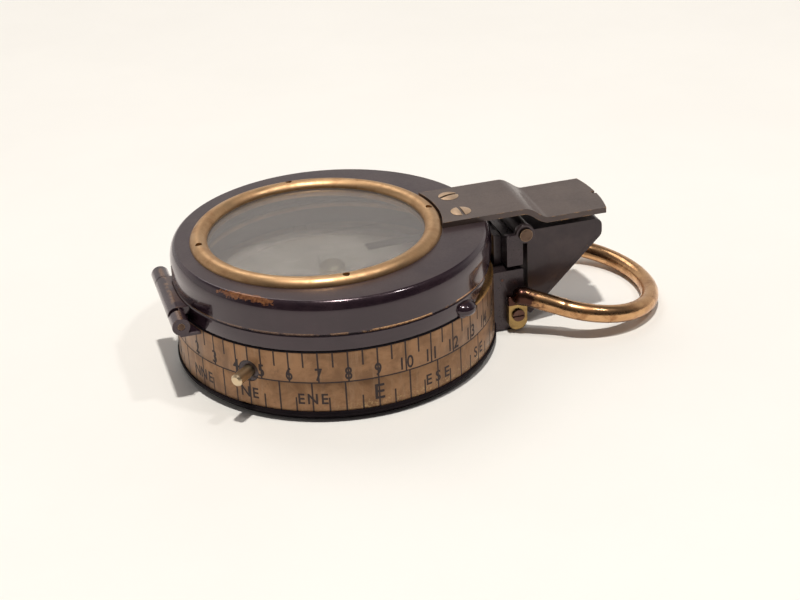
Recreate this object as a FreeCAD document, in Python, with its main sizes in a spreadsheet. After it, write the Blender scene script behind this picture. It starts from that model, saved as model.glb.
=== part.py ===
import FreeCAD, Part
import math
import os

import Sketcher

# A prismatic sighting compass. Millimetres. The origin is the centre of the case's
# underside; +X runs from the lid hinge to the prism, +Z is up.

DIMENSIONS = {
    # case
    "case_radius": 27.5, "case_bore": 25.9, "case_low": 1.9, "case_top": 12.8,
    "seat_radius": 24.8, "seat_thick": 1.2,
    "rim_radius": 27.8, "rim_low": 1.3, "foot_radius": 26.5, "floor_top": 1.9, "spigot_top": 3.4,
    # lid
    "lid_radius": 27.33, "lid_wall": 1.0, "lid_low": 12.85, "lid_top": 21.4, "lid_plate": 0.9,
    "lid_flat_radius": 26.3, "lid_shoulder": 2.4, "lid_shoulder_bend": 3.0,
    "lid_groove_height": 15.6, "lid_groove_size": 0.22,
    "arch_radius": 36.0, "arch_crown": 19.15,
    "window_offset": 2.4, "window_hole": 19.85, "window_clear": 18.45, "window_crown": 1.3,
    "window_outer": 21.4, "glass_thick": 1.05,
    "lug_angle": -52.0, "lug_height": 13.5, "lug_width": 2.1, "lug_depth": 3.0, "lug_rise": 1.4,
    # strap over the lid and the prism
    "strap_width": 13.8, "strap_thick": 1.0, "strap_bend": 33.4, "tongue_start": 36.2,
    "tongue_drop": 2.2, "strap_tip": 48.4, "strap_tip_radius": 30.0, "notch_width": 0.9, "notch_depth": 0.7,
    "strap_screw_x": 22.3, "strap_screw_y": 3.45, "screw_head": 1.75, "screw_shank": 0.8,
    # lid hinge
    "hinge_x": 28.4, "hinge_z": 14.1, "hinge_outer": 1.5, "hinge_hole": 0.65, "hinge_pin": 0.6,
    "hinge_mid": -1.4, "hinge_half": 10.5, "knuckle_half": 6.2, "knuckle_gap": 0.18,
    # prism bracket and focusing slide
    "bracket_half": 7.4, "bracket_front": 32.0, "bracket_low": 0.2, "bracket_top": 11.5,
    "rail_back": 27.7, "rail_front": 29.0, "rail_half": 4.5, "rail_top": 17.2,
    "dovetail_face": 1.9, "dovetail_root": 2.5, "dovetail_depth": 0.8, "slide_gap": 0.06,
    "slide_low": 12.2, "slide_top": 17.4, "ear_thick": 1.1,
    "prism_pin_x": 32.5, "prism_pin_z": 17.9, "prism_pin": 1.15, "prism_pin_half": 7.9,
    "ear_round": 1.7, "prism_knuckle": 1.5,
    # prism box
    "box_half": 6.15, "box_left": 33.25, "box_top": 17.95, "box_right": 47.1, "box_corner": 1.3,
    "slope_top": 14.9, "slope_foot_x": 33.8, "slope_foot_z": 1.95, "box_low": 1.95, "box_wall": 0.95, "heel_round": 1.5, "heel_reach": 0.634,
    "cover_thick": 0.7, "object_window_x": 42.3, "object_window": 3.0, "eye_window_z": 10.2,
    "eye_window": 2.7, "lens_thick": 0.8,
    # thumb ring
    "ring_wire": 1.57, "ring_centre_x": 44.7, "ring_reach": 13.0, "ring_spread": 15.2, "ring_tilt": 10.6,
    "ring_end_angle": 128.0, "ring_root_x": 31.5, "ring_root_z": 7.1,
    "ring_pivot_x": 30.4, "ring_pivot_z": 3.5, "ring_pivot_hole": 0.7,
    "ring_tab_width": 3.5, "ring_tab_thick": 1.3, "ring_gap": 0.15,
    # turning bezel under the lid
    "bezel_outer": 25.6, "bezel_top": 16.6, "bezel_clear": 22.4, "bezel_spigot": 24.7,
    "bezel_bore": 23.9, "bezel_glass_low": 15.1, "bezel_glass_thick": 1.0, "bezel_spigot_low": 10.7,
    # card
    "card_radius": 22.0, "card_height": 10.0, "card_thick": 0.3, "scale_inner": 19.2,
    "scale_thick": 0.15, "hub_radius": 2.8, "hub_neck": 2.2, "hub_low": 8.5, "hub_top": 13.9,
    "jewel_radius": 0.9, "magnet_length": 28.0, "magnet_width": 1.6, "magnet_thick": 1.0,
    "magnet_offset": 5.0, "post_radius": 1.5, "post_top": 9.7, "needle_tip": 12.95,
    # brake
    "brake_height": 8.2, "brake_pin": 1.03, "brake_bush": 1.9, "brake_tip": 31.3, "brake_nose": 24.15,
    "brake_arm": 7.0, "brake_pivot": 22.6, "brake_lever_face": 23.4, "brake_lever_back": 24.1,
    # card lifter
    "lift_pin": 0.45, "lift_pin_y": 26.7, "lift_pivot_y": 17.0, "lift_pivot_z": 5.2, "lift_width": 2.4,
}
BRAKE_BEARING = 225.0
TURN = 360.0
SLACK = 0.05
FAR = 90.0

doc = FreeCAD.newDocument("sighting_compass")
sheet = doc.addObject("Spreadsheet::Sheet", "Dims")
finished = []


class Size:
    """A length with its present value and the expression that ties it to the sheet."""

    def __init__(self, value, text):
        self.value = float(value)
        self.text = text

    def __add__(self, other):
        other = size(other)
        return Size(self.value + other.value, f"({self.text} + {other.text})")

    def __sub__(self, other):
        other = size(other)
        return Size(self.value - other.value, f"({self.text} - {other.text})")

    def __mul__(self, other):
        other = size(other)
        return Size(self.value * other.value, f"{self.text} * {other.text}")

    def __truediv__(self, other):
        other = size(other)
        return Size(self.value / other.value, f"{self.text} / {other.text}")

    def __neg__(self):
        return Size(-self.value, f"(0 - {self.text})")

    def __radd__(self, other):
        return size(other) + self

    def __rsub__(self, other):
        return size(other) - self

    def __rmul__(self, other):
        return size(other) * self


def size(number):
    """A plain number as a Size; a Size stays as it is."""
    if isinstance(number, Size):
        return number
    return Size(number, repr(float(number)) if number >= 0 else f"(0 - {abs(float(number))!r})")


class Dimensions:
    """Each cell of the sheet as an attribute that holds a Size."""

    def __init__(self, table):
        for row, (name, value) in enumerate(table.items(), start=1):
            sheet.set(f"A{row}", name)
            sheet.set(f"B{row}", str(value))
            sheet.setAlias(f"B{row}", name)
            setattr(self, name, Size(value, f"Dims.{name}"))


D = Dimensions(DIMENSIONS)
doc.recompute()


# ---- sketches and bodies -------------------------------------------------------------

def bind(feature, prop, number):
    """Sets a property, and ties it to the sheet."""
    feature.setExpression(prop, size(number).text)


def place(feature, x=0, y=0, z=0, rotation=None):
    """Moves a sub-part to x, y, z, with an optional rotation (axis, degrees)."""
    if rotation:
        axis, degrees = rotation
        turn = FreeCAD.Rotation(FreeCAD.Vector(*axis), degrees)
        feature.Placement = FreeCAD.Placement(FreeCAD.Vector(), turn)
    for letter, number in zip("xyz", (x, y, z)):
        bind(feature, f"Placement.Base.{letter}", number)
    return feature


def new_body(label):
    return doc.addObject("PartDesign::Body", label)


def new_sketch(body, role, name):
    plane = next(f for f in body.Origin.OriginFeatures if f.Role == role)
    sketch = body.newObject("Sketcher::SketchObject", name)
    sketch.AttachmentSupport = [(plane, "")]
    sketch.MapMode = "FlatFace"
    return sketch


def arc_between(start, end, radius):
    """The short arc from start to end; a positive radius bulges to the right of the walk."""
    chord = end - start
    half = chord.Length / 2
    depth = abs(radius) - math.sqrt(max(radius * radius - half * half, 0))
    side = FreeCAD.Vector(chord.y, -chord.x, 0).normalize()
    middle = (start + end) / 2 + side * math.copysign(depth, radius)
    return Part.Arc(start, middle, end)


def outline(sketch, points):
    """A closed outline. A point is (x, y), or (x, y, radius) where an arc leads to it."""
    corners = [[size(number) for number in point] for point in points]
    places = [FreeCAD.Vector(c[0].value, c[1].value, 0) for c in corners]
    count = len(corners)
    first = sketch.GeometryCount
    for i in range(count):
        start, end = places[i], places[(i + 1) % count]
        target = corners[(i + 1) % count]
        if len(target) == 3:
            sketch.addGeometry(arc_between(start, end, target[2].value))
        else:
            sketch.addGeometry(Part.LineSegment(start, end))
    for i in range(count):
        edge = first + i
        arc = len(corners[(i + 1) % count]) == 3
        flipped = arc and corners[(i + 1) % count][2].value < 0
        near = 2 if flipped else 1
        for kind, number in zip(("DistanceX", "DistanceY"), corners[i]):
            index = sketch.addConstraint(
                Sketcher.Constraint(kind, -1, 1, edge, near, number.value))
            sketch.setExpression(f"Constraints[{index}]", number.text)
    for i in range(count):
        edge, after = first + i, first + (i + 1) % count
        bend = corners[(i + 1) % count]
        next_bend = corners[(i + 2) % count]
        far = 1 if len(bend) == 3 and bend[2].value < 0 else 2
        near = 2 if len(next_bend) == 3 and next_bend[2].value < 0 else 1
        sketch.addConstraint(Sketcher.Constraint("Coincident", edge, far, after, near))
        if len(bend) == 3:
            index = sketch.addConstraint(
                Sketcher.Constraint("Radius", edge, abs(bend[2].value)))
            sketch.setExpression(f"Constraints[{index}]", size(abs(bend[2].value)).text
                                 if bend[2].value < 0 else bend[2].text)


def circle(sketch, x, y, radius):
    """A circle whose centre and radius are tied to the sheet."""
    x, y, radius = size(x), size(y), size(radius)
    centre = FreeCAD.Vector(x.value, y.value, 0)
    edge = sketch.addGeometry(Part.Circle(centre, FreeCAD.Vector(0, 0, 1), radius.value))
    for constraint, number in (
        (Sketcher.Constraint("DistanceX", -1, 1, edge, 3, x.value), x),
        (Sketcher.Constraint("DistanceY", -1, 1, edge, 3, y.value), y),
        (Sketcher.Constraint("Radius", edge, radius.value), radius),
    ):
        index = sketch.addConstraint(constraint)
        sketch.setExpression(f"Constraints[{index}]", number.text)


def turned(label, points):
    """A Body made by turning an outline of (radius, height) points about Z."""
    body = new_body(label)
    sketch = new_sketch(body, "XZ_Plane", label + "_section")
    outline(sketch, points)
    turn = body.newObject("PartDesign::Revolution", label + "_turn")
    turn.Profile = sketch
    turn.ReferenceAxis = (sketch, ["V_Axis"])
    turn.Angle = TURN
    return body


def plate(label, role, points, thickness):
    """A Body made by padding an outline evenly to both sides of an origin plane."""
    body = new_body(label)
    sketch = new_sketch(body, role, label + "_outline")
    outline(sketch, points)
    pad = body.newObject("PartDesign::Pad", label + "_pad")
    pad.Profile = sketch
    pad.SideType = "Symmetric"
    bind(pad, "Length", thickness)
    return body


def pocket(body, role, name, draw, depth, copies=0):
    """Cuts evenly to both sides of an origin plane, and repeats the cut around Z."""
    doc.recompute()
    before = body.Shape.Volume
    sketch = new_sketch(body, role, name + "_sketch")
    draw(sketch)
    cut = body.newObject("PartDesign::Pocket", name)
    cut.Profile = sketch
    cut.SideType = "Symmetric"
    bind(cut, "Length", depth)
    if copies:
        axis = next(f for f in body.Origin.OriginFeatures if f.Role == "Z_Axis")
        ring = body.newObject("PartDesign::PolarPattern", name + "_ring")
        ring.Originals = [cut]
        ring.Axis = (axis, [""])
        ring.Angle = TURN
        ring.Occurrences = copies
        body.Tip = ring
    doc.recompute()
    if body.Shape.Volume > before - 1e-4:
        raise RuntimeError(f"{name} cuts nothing")


# ---- solid primitives and booleans ---------------------------------------------------

def rod(label, radius, length, x=0, y=0, z=0, axis="z"):
    """A cylinder that starts at x, y, z and runs along an axis."""
    solid = doc.addObject("Part::Cylinder", label)
    bind(solid, "Radius", radius)
    bind(solid, "Height", length)
    turns = {"x": ((0, 1, 0), 90), "y": ((-1, 0, 0), 90), "z": None}
    return place(solid, x, y, z, turns[axis])


def block(label, low, high):
    """A box between two corners."""
    solid = doc.addObject("Part::Box", label)
    for prop, start, end in zip(("Length", "Width", "Height"), low, high):
        bind(solid, prop, size(end) - start)
    return place(solid, *low)


def spun(solid, corner, degrees):
    """Turns a block about the Z axis through the origin; corner is its low corner."""
    turn = FreeCAD.Rotation(FreeCAD.Vector(0, 0, 1), degrees)
    moved = turn.multVec(FreeCAD.Vector(*corner, 0))
    solid.Placement.Rotation = turn
    bind(solid, "Placement.Base.x", moved.x)
    bind(solid, "Placement.Base.y", moved.y)
    return solid


def cut(label, base, tools):
    """The base with every tool taken away."""
    result = base
    for number, tool in enumerate(tools, start=1):
        last = number == len(tools)
        step = doc.addObject("Part::Cut", label if last else f"{label}_cut{number}")
        step.Base = result
        step.Tool = tool
        result = step
    return result


def fuse(label, shapes):
    whole = doc.addObject("Part::MultiFuse", label)
    whole.Shapes = shapes
    whole.Refine = True
    return whole


def common(label, first, second):
    both = doc.addObject("Part::MultiCommon", label)
    both.Shapes = [first, second]
    return both


def group(label, parts):
    """Identical fasteners as separate solids of one node."""
    several = doc.addObject("Part::Compound", label)
    several.Links = parts
    return several


def finish(feature, label=None):
    """Marks a feature as a sub-part of its own."""
    feature.Label = label or feature.Label
    finished.append(feature)
    return feature


def both_sides(make):
    """Makes the same piece on the near side (-1) and on the far side (1)."""
    return [make(side) for side in (-1, 1)]


# ---- case ----------------------------------------------------------------------------

def build_base_plate():
    body = turned("base_plate", [
        (0, 0), (D.foot_radius, 0), (D.rim_radius, D.rim_low), (D.rim_radius, D.case_low),
        (D.case_bore - SLACK, D.case_low), (D.case_bore - SLACK, D.spigot_top),
        (D.case_bore - 1.2, D.spigot_top), (D.case_bore - 1.2, D.floor_top), (0, D.floor_top)])
    pocket(body, "XY_Plane", "spanner_holes", lambda s: circle(s, 14, 0, 1.0), 1.6, copies=2)
    finish(body)


def build_case_wall():
    edge = 0.25
    seat_low = D.case_top - D.seat_thick
    body = turned("case_tube", [
        (D.case_bore, D.case_low), (D.case_radius, D.case_low), (D.case_radius, D.case_top - edge),
        (D.case_radius - edge, D.case_top), (D.seat_radius, D.case_top), (D.seat_radius, seat_low),
        (D.case_bore, seat_low)])
    holes = [brake_rod("brake_bush_hole", D.brake_bush, 22, 30)]
    holes += both_sides(lambda side: rod(
        f"bracket_screw_hole{side}", 0.85, 10, 22, side * 4.2, 6.2, "x"))
    holes += both_sides(lambda side: rod(
        f"bracket_head_hole{side}", 1.6, 5.3, 20.9, side * 4.2, 6.2, "x"))
    holes += [
        rod("lift_pin_hole", D.lift_pin + SLACK, 6, 0, D.lift_pin_y, D.case_top - 4),
        block("lift_lever_slot", (-1.5, 24, 8.2), (1.5, D.lift_pin_y + 0.6, 10.9)),
    ]
    finish(cut("case_wall", body, holes))


def brake_rod(label, radius, inner, outer):
    """A cylinder along the brake button's line, between two distances from the centre."""
    solid = doc.addObject("Part::Cylinder", label)
    bind(solid, "Radius", radius)
    bind(solid, "Height", size(outer) - inner)
    bearing = math.radians(BRAKE_BEARING)
    along = FreeCAD.Vector(math.cos(bearing), math.sin(bearing), 0)
    turn = FreeCAD.Rotation(FreeCAD.Vector(0, 0, 1), along)
    solid.Placement = FreeCAD.Placement(FreeCAD.Vector(), turn)
    inner = size(inner)
    bind(solid, "Placement.Base.x", inner * along.x)
    bind(solid, "Placement.Base.y", inner * along.y)
    bind(solid, "Placement.Base.z", D.brake_height)
    return solid


def build_pivot():
    finish(turned("pivot_post", [
        (0, D.floor_top), (3.4, D.floor_top), (3.4, D.floor_top + 0.8), (D.post_radius, D.floor_top + 1.2),
        (D.post_radius, D.post_top - 0.7), (0.8, D.post_top), (0, D.post_top)]))
    finish(turned("pivot_needle", [
        (0, D.post_top), (0.4, D.post_top), (0.4, D.needle_tip - 0.45), (0, D.needle_tip)]))


# ---- card ----------------------------------------------------------------------------

def build_card():
    top = D.card_height + D.card_thick
    finish(turned("card_disc", [
        (D.hub_neck, D.card_height), (D.card_radius, D.card_height), (D.card_radius, top),
        (D.hub_neck, top)]))
    finish(turned("card_scale_ring", [
        (D.scale_inner, top), (D.card_radius, top), (D.card_radius, top + D.scale_thick),
        (D.scale_inner, top + D.scale_thick)]))
    finish(turned("card_hub", [
        (D.post_radius + 0.45, D.hub_low), (D.hub_radius, D.hub_low), (D.hub_radius, D.card_height),
        (D.hub_neck, D.card_height), (D.hub_neck, D.hub_top - 0.5), (D.hub_neck - 0.5, D.hub_top),
        (0, D.hub_top), (0, D.hub_top - 0.5), (D.jewel_radius, D.hub_top - 0.5),
        (D.jewel_radius, D.card_height), (D.post_radius + 0.45, D.card_height)]))
    cup_low = D.hub_top - 1.3
    finish(turned("jewel_cup", [
        (0, cup_low + 0.45), (0.6, cup_low), (D.jewel_radius, cup_low),
        (D.jewel_radius, D.hub_top - 0.5), (0, D.hub_top - 0.5)]))
    low = D.card_height - D.magnet_thick
    half = D.magnet_length / 2
    finish(group("card_magnets", both_sides(lambda side: block(
        f"magnet{side}", (-half, D.magnet_offset * side - D.magnet_width / 2, low),
        (half, D.magnet_offset * side + D.magnet_width / 2, D.card_height)))))


# ---- turning bezel -------------------------------------------------------------------

def build_turning_bezel():
    glass_top = D.bezel_glass_low + D.bezel_glass_thick
    groove_top = D.case_top - D.seat_thick - 0.35
    body = turned("bezel_blank", [
        (D.bezel_bore, D.bezel_spigot_low), (D.bezel_spigot, D.bezel_spigot_low),
        (D.bezel_spigot, groove_top - 0.4), (D.bezel_spigot - 0.45, groove_top - 0.4),
        (D.bezel_spigot - 0.45, groove_top), (D.bezel_spigot, groove_top),
        (D.bezel_spigot, D.case_top + SLACK), (D.bezel_outer, D.case_top + SLACK),
        (D.bezel_outer, D.bezel_top - 0.6), (D.bezel_outer - 0.6, D.bezel_top),
        (D.bezel_clear, D.bezel_top), (D.bezel_clear, glass_top), (D.bezel_bore, glass_top)])
    pocket(body, "XY_Plane", "finger_flutes", lambda s: circle(s, D.bezel_outer + 0.75, 0, 1.0),
           2 * FAR, copies=36)
    finish(body, "bezel_ring")
    finish(turned("bezel_glass", [
        (0, D.bezel_glass_low), (D.bezel_bore, D.bezel_glass_low), (D.bezel_bore, glass_top),
        (0, glass_top)]))
    finish(turned("bezel_glass_ring", [
        (D.bezel_clear + 0.2, D.bezel_glass_low - 0.8), (D.bezel_bore, D.bezel_glass_low - 0.8),
        (D.bezel_bore, D.bezel_glass_low), (D.bezel_clear + 0.2, D.bezel_glass_low)]))
    snap = turned("snap_blank", [
        (D.bezel_spigot - 0.45, groove_top - 0.35), (D.bezel_spigot + 0.6, groove_top - 0.35),
        (D.bezel_spigot + 0.6, groove_top - 0.05), (D.bezel_spigot - 0.45, groove_top - 0.05)])
    finish(cut("bezel_snap_ring", snap, [block("snap_split", (-27, -2.5, 9), (-22, 2.5, 12))]))
    strip = block("index_strip", (6.3, -1.2, glass_top), (D.bezel_clear - 0.1, 1.2, glass_top + 0.12))
    finish(spun(strip, (6.3, -1.2), 3), "index_strip")


# ---- lid -----------------------------------------------------------------------------

def lid_section():
    inside = D.lid_radius - D.lid_wall
    ceiling = D.lid_top - D.lid_plate
    groove, deep = D.lid_groove_height, D.lid_groove_size
    return [
        (inside, D.lid_low), (D.lid_radius, D.lid_low), (D.lid_radius, groove - deep),
        (D.lid_radius - deep, groove), (D.lid_radius, groove + deep),
        (D.lid_radius, D.lid_top - D.lid_shoulder),
        (D.lid_flat_radius, D.lid_top, D.lid_shoulder_bend), (0, D.lid_top), (0, ceiling),
        (inside - 1.2, ceiling), (inside, ceiling - 1.4)]


def build_lid_shell():
    body = turned("lid_blank", lid_section())
    pocket(body, "XY_Plane", "window_opening", lambda s: circle(s, -D.window_offset, 0, D.window_hole),
           2 * FAR)
    arch = rod("lid_arch", D.arch_radius, 30, 12, 0, D.arch_crown - D.arch_radius, "x")
    holes = both_sides(lambda side: rod(
        f"lid_screw_hole{side}", D.screw_shank, 4, D.strap_screw_x, D.strap_screw_y * side, 19))
    finish(cut("lid_shell", body, [arch] + holes))


def build_lid_lug():
    dome = doc.addObject("Part::Ellipsoid", "lug_dome")
    bind(dome, "Radius1", D.lug_rise)
    bind(dome, "Radius2", D.lug_depth)
    bind(dome, "Radius3", D.lug_width)
    dome.Angle1 = -90
    dome.Angle2 = 90
    angle = math.radians(DIMENSIONS["lug_angle"])
    reach = D.lid_radius - 1.3
    place(dome, reach * math.cos(angle), reach * math.sin(angle), D.lug_height,
          ((0, 0, 1), DIMENSIONS["lug_angle"]))
    finish(cut("lid_lug", dome, [
        rod("lug_seat", D.lid_radius, 30), rod("lug_case_clear", D.case_radius + 0.1, D.lid_low)]))


def build_window():
    rebate = D.window_clear + 0.65
    low = D.lid_top - D.lid_plate - 1.2
    top = D.lid_top + D.window_crown
    crest = (D.window_clear + D.window_outer) / 2
    bezel = turned("window_bezel", [
        (rebate, low), (D.window_hole, low), (D.window_hole, D.lid_top), (D.window_outer, D.lid_top),
        (crest, top, 1.55), (D.window_clear, D.lid_top + 0.35, 1.6),
        (D.window_clear, D.lid_top), (rebate, D.lid_top)])
    pocket(bezel, "XY_Plane", "spanner_dots", lambda s: circle(s, crest + 0.15, 0, 0.6),
           2 * (D.lid_top + 0.8), copies=4)
    glass = turned("window_glass", [
        (0, D.lid_top - D.glass_thick), (rebate, D.lid_top - D.glass_thick), (rebate, D.lid_top),
        (0, D.lid_top)])
    ring = turned("window_glass_ring", [
        (D.window_clear, low), (rebate, low), (rebate, D.lid_top - D.glass_thick),
        (D.window_clear, D.lid_top - D.glass_thick)])
    for body in (bezel, glass, ring):
        place(body, -D.window_offset)
        finish(body)


def strap_outline():
    top = D.lid_top + D.strap_thick
    low = D.lid_top
    drop = D.tongue_drop
    bend, start = D.strap_bend, D.tongue_start
    slope = 1.0
    return [
        (17, low), (bend - 0.9, low), (bend - 0.1, low - 0.35, -1.1),
        (start - slope - 0.2, low - drop + 0.35), (start, low - drop, 1.4), (50, low - drop),
        (50, top - drop), (start + 0.1, top - drop), (start - 0.75, top - drop + 0.3, -1.2),
        (bend + 0.5, top - 0.4), (bend - 0.5, top, 1.3), (17, top)]


def build_strap():
    bar = plate("strap_bar", "XZ_Plane", strap_outline(), D.strap_width)
    tip = rod("strap_tip_round", D.strap_tip_radius, 40, D.strap_tip - D.strap_tip_radius, 0, 0)
    trimmed = common("strap_trimmed", bar, tip)
    tools = [
        rod("strap_window_clear", D.window_outer + 0.05, 40, -D.window_offset, 0, 0),
        block("sight_notch", (D.strap_tip - D.notch_depth, D.notch_width / -2, 15),
              (D.strap_tip + 2, D.notch_width / 2, 25))]
    tools += both_sides(lambda side: countersink(f"strap_sink{side}", side))
    finish(cut("lid_strap", trimmed, tools))
    finish(group("strap_screws", both_sides(lambda side: strap_screw(f"strap_screw{side}", side))))


def screw_section(top):
    """Half of a countersunk screw: shank, cone and a head that stands a little proud."""
    return [
        (0, D.lid_top - D.lid_plate - 0.3), (D.screw_shank, D.lid_top - D.lid_plate - 0.3),
        (D.screw_shank, D.lid_top + 0.1), (D.screw_head, D.lid_top + D.strap_thick),
        (D.screw_head, top - 0.02), (0, top, 9)]


def countersink(label, side):
    top = D.lid_top + D.strap_thick
    body = turned(label, [
        (0, D.lid_top - 1), (D.screw_shank, D.lid_top - 1), (D.screw_shank, D.lid_top + 0.1),
        (D.screw_head, top), (D.screw_head, top + 1), (0, top + 1)])
    return place(body, D.strap_screw_x, D.strap_screw_y * side)


def strap_screw(label, side):
    top = D.lid_top + D.strap_thick + 0.2
    body = turned(label + "_turned", screw_section(top))
    place(body, D.strap_screw_x, D.strap_screw_y * side)
    slot = block(label + "_slot", (-2.5, -0.25, D.lid_top + D.strap_thick - 0.35), (2.5, 0.25, D.lid_top + 3))
    slot.Placement.Rotation = FreeCAD.Rotation(FreeCAD.Vector(0, 0, 1), 13 if side > 0 else 90)
    turn = slot.Placement.Rotation.multVec(FreeCAD.Vector(-2.5, -0.25, 0))
    bind(slot, "Placement.Base.x", D.strap_screw_x + turn.x)
    bind(slot, "Placement.Base.y", D.strap_screw_y * side + turn.y)
    return cut(label, body, [slot])


# ---- lid hinge -----------------------------------------------------------------------

def build_hinge():
    """Two outer knuckles on the case, one middle knuckle on the lid, and the pin through them."""
    x, z, mid = -D.hinge_x, D.hinge_z, D.hinge_mid
    case_half, half = D.hinge_half, D.knuckle_half
    inner = half + D.knuckle_gap
    gap_low, gap_high = mid - inner, mid + inner
    ledge = D.case_top - 0.35
    barrel = rod("case_barrel", D.hinge_outer, case_half * 2, x, mid - case_half, z, "y")
    web = plate("case_web", "XZ_Plane", [
        (x - 0.6, z - 1.3), (x - 0.2, D.case_top - 1.0), (-24, D.case_top - 1.0),
        (-24, ledge), (x + 1.3, ledge), (x + 1.35, z)], (case_half - 0.9) * 2)
    place(web, 0, mid, 0)
    solid = fuse("case_leaf_blank", [barrel, web])
    finish(cut("hinge_case_leaf", solid, [
        rod("case_leaf_seat", D.case_radius, 30),
        rod("case_leaf_hole", D.hinge_pin, FAR, x, -FAR / 2, z, "y"),
        rod("case_leaf_clear", D.hinge_outer + 0.12, inner * 2, x, gap_low, z, "y"),
        block("case_leaf_gap", (x - 3, gap_low, ledge), (-20, gap_high, 20)),
        block("case_leaf_heel", (x - 3, gap_low, 8), (x + 0.1, gap_high, 13)),
        block("knuckle_notch", (x - 2.5, gap_low - 0.9, z + 0.35), (x + 0.3, gap_low + 0.1, z + 3))]))
    knuckle = rod("lid_barrel", D.hinge_outer, half * 2, x, mid - half, z, "y")
    lid_web = plate("lid_web", "XZ_Plane", [
        (x, z + 0.05), (-25, z + 0.05), (-25, z + 1.35), (x, z + 1.45)], half * 2)
    place(lid_web, 0, mid, 0)
    leaf = fuse("lid_leaf_blank", [knuckle, lid_web])
    finish(cut("hinge_lid_leaf", leaf, [
        rod("lid_leaf_seat", D.lid_radius, 40), rod("lid_leaf_hole", D.hinge_hole, FAR, x, -FAR / 2, z, "y")]))
    finish(rod("hinge_pin", D.hinge_pin, case_half * 2 - 0.2, x, mid - case_half + 0.1, z, "y"))


# ---- prism bracket, slide and box ----------------------------------------------------

def dovetail(label, low, high, ease):
    """A dovetail bar that stands in from the rail's face; ease makes the male one smaller."""
    face, root = D.dovetail_face - ease, D.dovetail_root - ease
    back = D.rail_front - D.dovetail_depth + ease
    front = D.rail_front + 0.4
    body = new_body(label)
    sketch = new_sketch(body, "XY_Plane", label + "_outline")
    outline(sketch, [(back, -root), (D.rail_front, -face), (front, -face), (front, face),
                     (D.rail_front, face), (back, root)])
    pad = body.newObject("PartDesign::Pad", label + "_pad")
    pad.Profile = sketch
    bind(pad, "Length", high - low)
    return place(body, 0, 0, low)


def build_bracket():
    half = D.bracket_half
    lower = block("bracket_block", (20, -half, D.bracket_low), (D.bracket_front, half, D.bracket_top))
    rail = block("bracket_rail", (D.rail_back, -D.rail_half, 8), (D.rail_front, D.rail_half, D.rail_top))
    solid = fuse("bracket_blank", [lower, rail])
    tools = [
        rod("bracket_seat", D.case_radius, 40, 0, 0, -5),
        rod("bracket_rim_clear", D.rim_radius + 0.03, D.case_low + 5.03, 0, 0, -5),
        dovetail("rail_groove", D.bracket_top, D.rail_top + 1, 0)]
    tools += both_sides(lambda side: rod(
        f"ring_screw_hole{side}", 0.55, 3, D.ring_pivot_x, side * (half - 1.5) - 1.5, D.ring_pivot_z, "y"))
    tools += both_sides(lambda side: rod(
        f"bracket_tap{side}", 0.7, 4, D.case_radius - 1, side * 4.2, 6.2, "x"))
    tools += both_sides(lambda side: rod(
        f"bracket_dowel_hole{side}", 0.25, 2.2, 28.1, side * (half - 1.1) - 1.1, 9.9, "y"))
    finish(cut("prism_bracket", solid, tools))
    finish(group("bracket_screws", both_sides(bracket_screw)))
    finish(group("bracket_dowels", both_sides(lambda side: rod(
        f"dowel{side}", 0.25, 2.1, 28.1, side * (half - 1.0) - 1.05, 9.9, "y"))))


def bracket_screw(side):
    """A cheese-head screw from inside the case, along X."""
    head = rod(f"bracket_screw_head{side}", 1.45, 1.0, 25.2, side * 4.2, 6.2, "x")
    shank = rod(f"bracket_screw_shank{side}", 0.7, 4.8, 25.7, side * 4.2, 6.2, "x")
    slot = block(f"bracket_screw_slot{side}", (24, side * 4.2 - 1.6, 6.0), (25.6, side * 4.2 + 1.6, 6.4))
    return cut(f"bracket_screw{side}", fuse(f"bracket_screw_blank{side}", [head, shank]), [slot])


def build_slide():
    half = D.bracket_half
    x, z = D.prism_pin_x, D.prism_pin_z
    back = D.rail_front + 0.08
    middle = block("slide_block", (back, -half, D.slide_low), (D.bracket_front, half, D.slide_top))
    inner = half - D.ear_thick
    parts = [middle]
    for side in (-1, 1):
        low = half * -1 if side < 0 else inner
        parts.append(block(f"ear_plate{side}", (back, low, D.slide_low),
                           (D.bracket_front, low + D.ear_thick, z + 0.1)))
        parts.append(rod(f"ear_round{side}", D.ear_round, D.ear_thick, x, low, z, "y"))
    parts.append(dovetail("slide_tail", D.slide_low, D.rail_top - 0.5, D.slide_gap))
    solid = fuse("slide_blank", parts)
    finish(cut("focus_slide", solid, [
        rod("slide_pin_hole", D.prism_pin, FAR, x, -FAR / 2, z, "y"),
        rod("slide_knuckle_clear", D.prism_knuckle + 0.12, inner * 2, x, -inner, z, "y")]))
    pin = rod("pin_rod", D.prism_pin, D.prism_pin_half * 2, x, -D.prism_pin_half, z, "y")
    finish(pin, "prism_hinge_pin")


def prism_outline():
    """The prism box's side: the right angle at the top left, the slope at the lower right."""
    return [
        (D.box_left, D.box_top), (D.box_left, D.box_low + 0.3), (D.box_left + 0.3, D.box_low),
        (D.slope_foot_x, D.slope_foot_z),
        (D.box_right - D.heel_reach * 0.716, D.slope_top - D.heel_reach * 0.698),
        (D.box_right, D.slope_top + D.heel_reach, D.heel_round),
        (D.box_right, D.box_top - D.box_corner),
        (D.box_right - D.box_corner, D.box_top, D.box_corner)]


def slope_strip(label, near, far, half, start, end):
    """A strip along the slope between two depths under it and two places along it."""
    dx, dz = D.box_right - D.slope_foot_x, D.slope_top - D.slope_foot_z
    length = math.hypot(dx.value, dz.value)
    ux, uz = dx.value / length, dz.value / length

    def spot(along, depth):
        return (D.slope_foot_x + (along * ux - depth * uz), D.slope_foot_z + (along * uz + depth * ux))

    return plate(label, "XZ_Plane", [
        spot(start, near), spot(end, near), spot(end, far), spot(start, far)], half * 2)


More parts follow.
